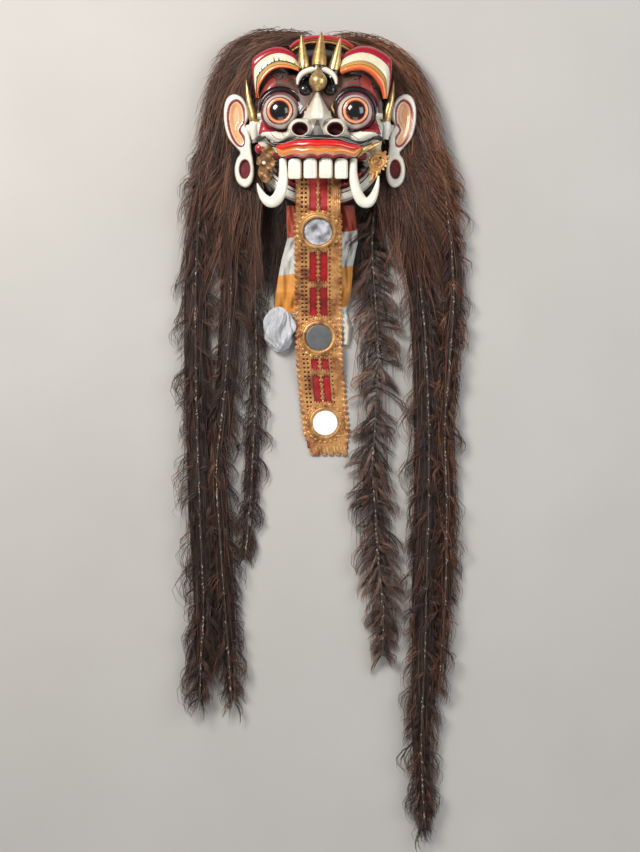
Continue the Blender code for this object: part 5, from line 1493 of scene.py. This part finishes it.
def featherLock(name, spinePx, halfPx, tuftPx, spacing, high, replaced, material, tones=(0.1, 0.75),
                angle=34, strandsEach=None, core=True, spread=0.0030, loose=260):
    # A cord with pointed tufts of hair on both sides, like a long feather
    spine = smooth([at(px, py, 0.016) for px, py in spinePx], 14)
    length = np.sum(np.linalg.norm(np.diff(spine, axis=0), axis=1))
    tufts = int(length / spacing)
    each = strandsEach or hair["tuftStrands"]
    half = smooth([(h,) for h in halfPx], 14)[:, 0] * view["pixel"]
    paths, tone = [], []
    points = hair["points"]
    scatter = 1.4 if spread > 0.002 else 0.0  # how far a tuft may start beside the cord, in half widths
    for k in range(tufts * 2):
        side = 1 if k % 2 else -1
        t = (k // 2 + dice.uniform(0.1, 0.9)) / tufts
        here, ahead = spineAt(spine, np.array([t, min(t + 0.01, 1.0)]))
        down = ahead - here
        down = down / max(np.linalg.norm(down), 1e-9) if t < 0.99 else np.array((0.0, -1.0, 0.0))
        aside = np.array((-down[1], down[0], 0.0)) * side
        wide = float(np.interp(t, np.linspace(0, 1, len(half)), half))
        lean = math.radians(angle * dice.uniform(0.15, 1.75))
        reach = tuftPx * view["pixel"] * dice.uniform(0.6, 1.55) * (1.0 if t < 0.9 else 1.25 - 0.6 * t)
        curl = aside * reach * dice.uniform(-0.10, 0.30)
        start = here + aside * dice.uniform(-0.2, 0.35) * wide * scatter
        outward = min(reach * math.sin(lean), wide * dice.uniform(0.75, 1.2))
        tip = here + down * reach * math.cos(lean) + aside * outward
        lift = dice.uniform(0.0, 1.0)
        rise = high * (0.25 + 0.75 * lift)
        base = dice.uniform(*tones)
        for j in range(each):
            root = start + np.array((*dice.normal(0, spread * 0.8, 2), 0))
            end = tip + np.array((*dice.normal(0, spread * 1.2, 2), 0)) + down * dice.uniform(-7, 4) * spread
            s = np.linspace(0, 1, points)[:, None]
            mid = dice.normal(0, spread, 3) * np.array((1, 1, 0.6))
            bow = curl * dice.uniform(0.6, 1.4)
            path = root + (end - root) * s + (mid + bow) * 4 * s * (1 - s)
            z = rise * (1.15 - 0.55 * s[:, 0] ** 1.4) + dice.normal(0, 0.0016)
            z[0] = high * dice.uniform(0.3, 0.75)
            z[-1] *= dice.uniform(0.35, 0.95)
            path[:, 2] = z
            paths.append(path)
            tone.append(np.clip(base + dice.normal(0, 0.16), 0, 1))
    for j in range(int(length * loose)):
        t0 = dice.uniform(-0.02, 0.95)
        span = dice.uniform(0.07, 0.20) / length
        t = t0 + span * np.linspace(0, 1, points)
        wide = np.interp(t, np.linspace(0, 1, len(half)), half)
        path = spineAt(spine, t) + 0.0
        offset = dice.uniform(-0.75, 0.75)
        drift = dice.uniform(-0.35, 0.45) * np.sign(offset) * np.linspace(0, 1, points)
        path[:, 0] += (offset + drift) * wide + 0.002 * np.sin(np.linspace(0, dice.uniform(2, 6), points) + j)
        level = high * (0.95 - 0.7 * offset ** 2) * dice.uniform(0.5, 1.05)
        path[:, 2] = level + dice.normal(0, 0.0008, points)
        paths.append(path)
        tone.append(dice.uniform(0.0, 0.85))
    paths = np.array(paths)
    strands(name, paths, taper(len(paths), points, hair["thick"]), np.array(tone), material, replaced)
    cord = []
    for shiftSide in (-1, 1):
        rows = []
        turns = int(length / 0.012)
        for i in range(turns + 1):
            x, y, z = spineAt(spine, np.array([i / turns]))[0]
            rows.append((x + 0.0012 * math.cos(i * 1.57) * shiftSide, y,
                         high * 0.92 + 0.001 * math.sin(i * 1.57) * shiftSide,
                         0.0008, 0.0008))
        cord.append(rope(rows, 5, 2))
    keep(name + "_cord", joined("cord", cord), threadCloth, angle=80)
    beads = []
    for k in range(int(length / 0.017)):
        x, y, z = spineAt(spine, np.array([dice.uniform(0.02, 0.97)]))[0]
        beads.append(rope([(x + dice.normal(0, 0.0012), y, high * 0.93 + 0.0018, 0.0007, 0.0008),
                           (x + dice.normal(0, 0.0014), y - dice.uniform(0.002, 0.005), high * 0.93 + 0.0018,
                            0.0005, 0.0006)], 5, 1))
    keep(name + "_beads", joined("beads", beads), paleBead, angle=80)
    # A dark core under the lock, coloured with painted shade of the dense hair
    if core:
        rows = []
        for i in range(25):
            t = 0.97 * i / 24
            x, y, z = spineAt(spine, np.array([t]))[0]
            ending = 1.0 if t < 0.85 else (1.0 - t) / 0.15 + 0.1
            wide = float(np.interp(t, np.linspace(0, 1, len(half)), half)) * 0.62 * ending
            rows.append((x, y, high * 0.36, max(wide, 0.001), high * 0.34))
        keep(name + "_core", rope(rows, 14, 4), coreHairShade, angle=80)


threadCloth = cloth("cordThread", colour=(0.085, 0.045, 0.030), rough=0.6, soil=0.4)
paleBead = cloth("paleBead", colour=(0.62, 0.52, 0.42), rough=0.5, soil=0.2)


def coreMaterial():
    # Very dark streaked hair, painted shade of the deep hair mass: it colours the lock cores and the sheets
    # under the crown and nape hair
    made, tree, shader = emptyMaterial("underHairShade")
    link = tree.links.new
    where = node(tree, "ShaderNodeTexCoord")
    stretch = node(tree, "ShaderNodeMapping", in_Scale=(900.0, 60.0, 400.0))
    link(where.outputs["Object"], stretch.inputs["Vector"])
    streak = node(tree, "ShaderNodeTexNoise", in_Scale=1.0, in_Detail=4.0)
    link(stretch.outputs[0], streak.inputs["Vector"])
    link(ramp(tree, streak.outputs["Fac"], [(0.35, (0.006, 0.003, 0.002)), (0.65, (0.030, 0.014, 0.009))]),
         shader.inputs["Base Color"])
    link(ramp(tree, streak.outputs["Fac"], [(0.3, 0.7), (0.7, 0.5)]), shader.inputs["Roughness"])
    raised = node(tree, "ShaderNodeBump", in_Strength=0.8, in_Distance=0.002)
    link(streak.outputs["Fac"], raised.inputs["Height"])
    link(raised.outputs[0], shader.inputs["Normal"])
    return made


coreHairShade = coreMaterial()


def crownHair(side, sign, material, replaced, reaches):
    count = hair["crownStrands"] // 2
    points = hair["crownPoints"]
    paths, tone = [], []

    def lies(t, out):
        # t runs from the parting at 0 past the temple to the jaw at 1, then straight down
        turn = math.radians(90 - sign * (2 + 131 * min(t, 1.0)))
        x, y = rimPoint(turn, 0.140, 0.180)
        normal = Vector((x / 0.134 ** 2, max(y, 0.0) / 0.174 ** 2, 0)).normalized()
        reach = float(np.interp(min(t, 1.0), np.linspace(0, 1, len(reaches)), reaches))
        down = max(t - 1.0, 0.0) * 0.42
        return x + normal.x * reach * out + sign * 0.05 * down * out, y + normal.y * reach * out - down

    clumps = []
    for i in range(hair["clumps"]):
        begin = dice.uniform(-0.02, 1.0) if i % 3 else dice.uniform(-0.02, 0.35)
        clumps.append((begin, dice.uniform(0.30, 0.75), dice.uniform(0.0, 0.55), dice.uniform(0.15, 1.06),
                       dice.uniform(4, 10),
                       dice.uniform(0, 6), dice.uniform(0.003, 0.013), dice.beta(1.6, 2.0),
                       dice.uniform(0.2, 1.0)))
    for i in range(count):
        begin, span, low, high, beat, phase, sway, shade, level = clumps[i % len(clumps)]
        begin, span = begin + dice.normal(0, 0.02), span * dice.uniform(0.7, 1.15)
        low, high = max(low + dice.normal(0, 0.05), 0.0), high + dice.normal(0, 0.05)
        s = np.linspace(0, 1, points)
        path = []
        for k in s:
            out = low + (high - low) * k ** 0.8
            x, y = lies(begin + span * k, out)
            swing = sway * math.sin(beat * k + phase) * min(1.0, 2 * k)
            crest = 0.012 + 0.042 * max(0.0, 1 - (out * 0.95) ** 2.4)
            past = max(begin + span * k - 1, 0)
            z = crest + 0.010 * (level - 0.5) + 0.006 * math.sin(3.1 * k) - 0.012 * past
            path.append((x + swing * 0.9, y + swing * 0.5, z))
        path = np.array(path) + dice.normal(0, 0.0007, (points, 3)) * s[:, None]
        path[0] += dice.normal(0, 0.004, 3)
        paths.append(path)
        tone.append(np.clip(shade + dice.normal(0, 0.14), 0, 1))
    for i in range(hair["wisps"]):
        begin, span = dice.uniform(0.0, 0.95), dice.uniform(0.10, 0.40)
        low, high = dice.uniform(0.5, 0.95), dice.uniform(0.98, 1.20)
        bow, beat = dice.uniform(-0.010, 0.014), dice.uniform(2, 8)
        path = []
        for k in np.linspace(0, 1, points):
            x, y = lies(begin + span * k, low + (high - low) * k ** 1.3)
            path.append((x + bow * math.sin(beat * k), y + bow * math.sin(beat * k + 1),
                         0.045 - 0.028 * k + 0.012 * math.sin(3.1 * k)))
        paths.append(path)
        tone.append(dice.uniform(0.3, 1.0))
    paths = np.array(paths)
    strands(f"crown_hair_{side}", paths, taper(len(paths), points, hair["crownThick"]), np.array(tone),
            material, replaced)

    # A dark sheet under the crown hair, coloured with painted shade
    def place(u, t):
        turn = math.radians(90 - sign * (4 + 131 * t))
        x, y = rimPoint(turn, 0.1425, 0.1825)
        normal = Vector((x / 0.134 ** 2, max(y, 0.0) / 0.174 ** 2, 0)).normalized()
        waves = 0.80 + 0.03 * math.sin(t * 31) + 0.02 * math.sin(t * 77)
        reach = float(np.interp(t, np.linspace(0, 1, len(reaches)), reaches)) * waves
        high = 0.030 + 0.010 * max(0.0, y / 0.174)
        out = reach * min(u / 0.92, 1.0)
        z = high * (1 - (u / 0.95) ** 3) if u < 0.95 else 0.0
        ripple = 0.0016 * math.sin(t * 160) + 0.001 * math.sin(t * 391)
        return (x + normal.x * out, y + normal.y * out, max(z + ripple * (u > 0.02) * (u < 0.94), 0.0))
    keep(f"crown_under_{side}", upward(grid(24, 120, place)), coreHairShade, angle=80)


locks = {  # path, half widths and tufts in pixels of the photo plane, the rest in metres
    "hair_left_outer": {
        "spinePx": [(210, 140), (200, 215), (196, 300), (197, 400), (200, 500), (204, 600), (202, 650),
                    (200, 700)],
        "halfPx": (13, 17, 19, 19, 19, 17, 13, 7), "tuftPx": 32, "spacing": 0.0105, "high": 0.040,
        "replaced": ("lock_left_outer",), "material": darkHair},
    "hair_left_middle": {
        "spinePx": [(226, 150), (230, 220), (231, 300), (224, 400), (217, 470), (222, 560), (228, 640),
                    (232, 702)],
        "halfPx": (12, 15, 17, 16, 16, 16, 13, 7), "tuftPx": 30, "spacing": 0.0105, "high": 0.038,
        "replaced": ("lock_left_middle",), "material": darkHair},
    # The back lock's darker tones are painted shade, as it lies behind the others
    "hair_left_back": {
        "spinePx": [(255, 290), (256, 360), (254, 430), (250, 500), (245, 560)],
        "halfPx": (9, 9, 9, 8, 5), "tuftPx": 24, "spacing": 0.014, "high": 0.022,
        "replaced": ("lock_left_back",), "material": darkHair, "tones": (0.0, 0.4), "core": False},
    "hair_right_front": {
        "spinePx": [(377, 188), (372, 240), (375, 300), (378, 350), (375, 420), (372, 470), (375, 510),
                    (378, 560),
                    (383, 610), (382, 655)],
        "halfPx": (17, 20, 23, 24, 24, 24, 24, 22, 17, 9), "tuftPx": 30, "spacing": 0.0075, "high": 0.034,
        "replaced": ("lock_right_front",), "material": plumeHair, "tones": (0.1, 0.95), "angle": 42,
        "strandsEach": 11, "core": False, "spread": 0.0015, "loose": 170},
    "hair_right_long": {
        "spinePx": [(408, 190), (415, 250), (424, 330), (428, 420), (428, 500), (426, 580), (424, 660),
                    (421, 730),
                    (422, 790), (425, 826)],
        "halfPx": (16, 18, 21, 23, 23, 22, 20, 15, 9, 4), "tuftPx": 31, "spacing": 0.0085, "high": 0.040,
        "replaced": ("lock_right_long",), "material": darkHair},
    "hair_right_outer": {
        "spinePx": [(437, 150), (447, 215), (453, 290), (449, 360), (444, 430), (446, 500), (445, 590),
                    (438, 690)],
        "halfPx": (13, 14, 14, 13, 13, 12, 11, 6), "tuftPx": 27, "spacing": 0.0105, "high": 0.038,
        "replaced": ("lock_right_outer",), "material": redHair},
}


def buildHair():
    leftReach = (0.010, 0.028, 0.052, 0.078, 0.096, 0.102, 0.107, 0.114, 0.124, 0.142, 0.163)
    rightReach = (0.010, 0.022, 0.034, 0.052, 0.070, 0.086, 0.100, 0.116, 0.134, 0.158, 0.179)
    crownHair("left", -1, darkHair, ("hair_crown_left",), leftReach)
    crownHair("right", 1, redHair, ("hair_crown_right",), rightReach)
    print("crown ready")
    for name, lock in locks.items():
        featherLock(name, **lock)
    print("locks ready")
    count, points = hair["napeStrands"], hair["napePoints"]
    paths, tone = [], []
    for i in range(count):
        x0 = dice.uniform(-0.160, 0.100)
        y0 = -0.150 - 0.165 * dice.uniform(0.0, 1) ** 0.8
        long = dice.uniform(0.04, 0.12) * (1.0 if x0 < -0.07 else 0.7)
        s = np.linspace(0, 1, points)
        path = np.stack([x0 + dice.normal(0, 0.004) + dice.normal(0, 0.012) * s + 0.003 * np.sin(s * 7 + i),
                         y0 - long * s,
                         0.0135 + 0.003 * np.sin(s * 3.1) + dice.normal(0, 0.0008) + 0 * s], axis=1)
        path[:, 2] *= np.clip((path[:, 1] + 0.385) / 0.05, 0.2, 1.0)
        paths.append(path)
        tone.append(dice.uniform(0.0, 0.45))
    paths = np.array(paths)
    strands("nape_hair", paths, taper(count, points, hair["napeThick"]), np.array(tone), darkHair,
            ("hair_nape",))

    # A dark pad under the nape hair, coloured with painted shade
    def pad(u, v):
        x = -0.148 + 0.244 * u
        lowest = -0.318 - 0.012 * math.sin(u * 17) - 0.010 * math.sin(u * 41 + 1)
        y = lowest + (-0.138 - lowest) * v
        edge = min(1.0, min(u, 1 - u) / 0.05) * min(1.0, v / 0.22)
        return (x, y, 0.0005 + 0.0125 * max(edge, 0.0) ** 0.5 + 0.0008
                * math.sin(u * 150 + 3 * math.sin(v * 20)))
    keep("nape_under", upward(grid(90, 60, pad)), coreHairShade, angle=80)


def buildBand():
    rows = []
    for i in range(67):
        turn = math.radians(-45 + 270 * i / 66)
        x, y = rimPoint(turn, 0.1385, 0.1785)
        rows.append((x, y, 0.020, 0.0038, 0.019))
    edging = [(x * 1.002, y * 1.002, 0.0405 + 0.0006 * math.sin(i * 1.3), 0.0030, 0.0030)
              for i, (x, y, *_) in enumerate(rows)]
    keep("rim_band", joined("band", [rope(rows, 14, 3), rope(edging, 10, 3)]), threadCloth,
         ("hair_band",), angle=70)


buildHair()
buildBand()
bpy.data.objects.remove(sectionObject, do_unlink=True)
print("hair ready")

# Floor, light and camera

studio = {
    "floor": 6.0, "sky": (0.90, 0.92, 0.96, 1), "skyStrength": 0.17, "exposure": 0.30, "aim": (0, -0.45, 0),
    "lamps": (  # name, place, size, power, tint
        ("key", (-1.5, 1.5, 2.3), 1.1, 84, (1.0, 0.96, 0.91)),
        ("fill", (1.9, 0.6, 1.9), 1.6, 24, (0.94, 0.97, 1.0)),
        ("low", (0.2, -2.6, 1.8), 2.2, 18, (1.0, 0.98, 0.96))),
}


def buildStudio():
    bm = bmesh.new()
    bmesh.ops.create_grid(bm, x_segments=1, y_segments=1, size=studio["floor"])
    mesh = bpy.data.meshes.new("studio_floor")
    bm.to_mesh(mesh)
    bm.free()
    floor = bpy.data.objects.new("studio_floor", mesh)
    bpy.context.scene.collection.objects.link(floor)
    made, tree, shader = emptyMaterial("floorPaper")
    where = node(tree, "ShaderNodeTexCoord")
    cloud = node(tree, "ShaderNodeTexNoise", in_Scale=3.0, in_Detail=3.0)
    tree.links.new(where.outputs["Object"], cloud.inputs["Vector"])
    tree.links.new(ramp(tree, cloud.outputs["Fac"], [(0.3, (0.47, 0.455, 0.43)), (0.7, (0.50, 0.485, 0.46))]),
                   shader.inputs["Base Color"])
    shader.inputs["Roughness"].default_value = 0.9
    mesh.materials.append(made)
    world = bpy.context.scene.world or bpy.data.worlds.new("studio")
    bpy.context.scene.world = world
    world.use_nodes = True
    world.node_tree.nodes["Background"].inputs[0].default_value = studio["sky"]
    world.node_tree.nodes["Background"].inputs[1].default_value = studio["skyStrength"]
    middle = shift + Vector(studio["aim"])
    for name, place, size, power, tint in studio["lamps"]:
        lamp = bpy.data.lights.new(name, "AREA")
        lamp.size = size
        lamp.energy = power
        lamp.color = tint
        holder = bpy.data.objects.new(name, lamp)
        bpy.context.scene.collection.objects.link(holder)
        holder.location = middle + Vector(place)
        holder.rotation_euler = (middle - holder.location).to_track_quat("-Z", "Y").to_euler()
    camera = bpy.data.cameras.new("camera")
    camera.sensor_width = 36.0
    camera.lens = 36.0 * view["focal"] / 852.0
    holder = bpy.data.objects.new("camera", camera)
    bpy.context.scene.collection.objects.link(holder)
    holder.location = (shift.x, shift.y + view["midY"], view["height"])
    bpy.context.scene.camera = holder
    bpy.context.scene.view_settings.view_transform = "Standard"
    bpy.context.scene.view_settings.look = "None"
    bpy.context.scene.view_settings.exposure = studio["exposure"]


buildStudio()
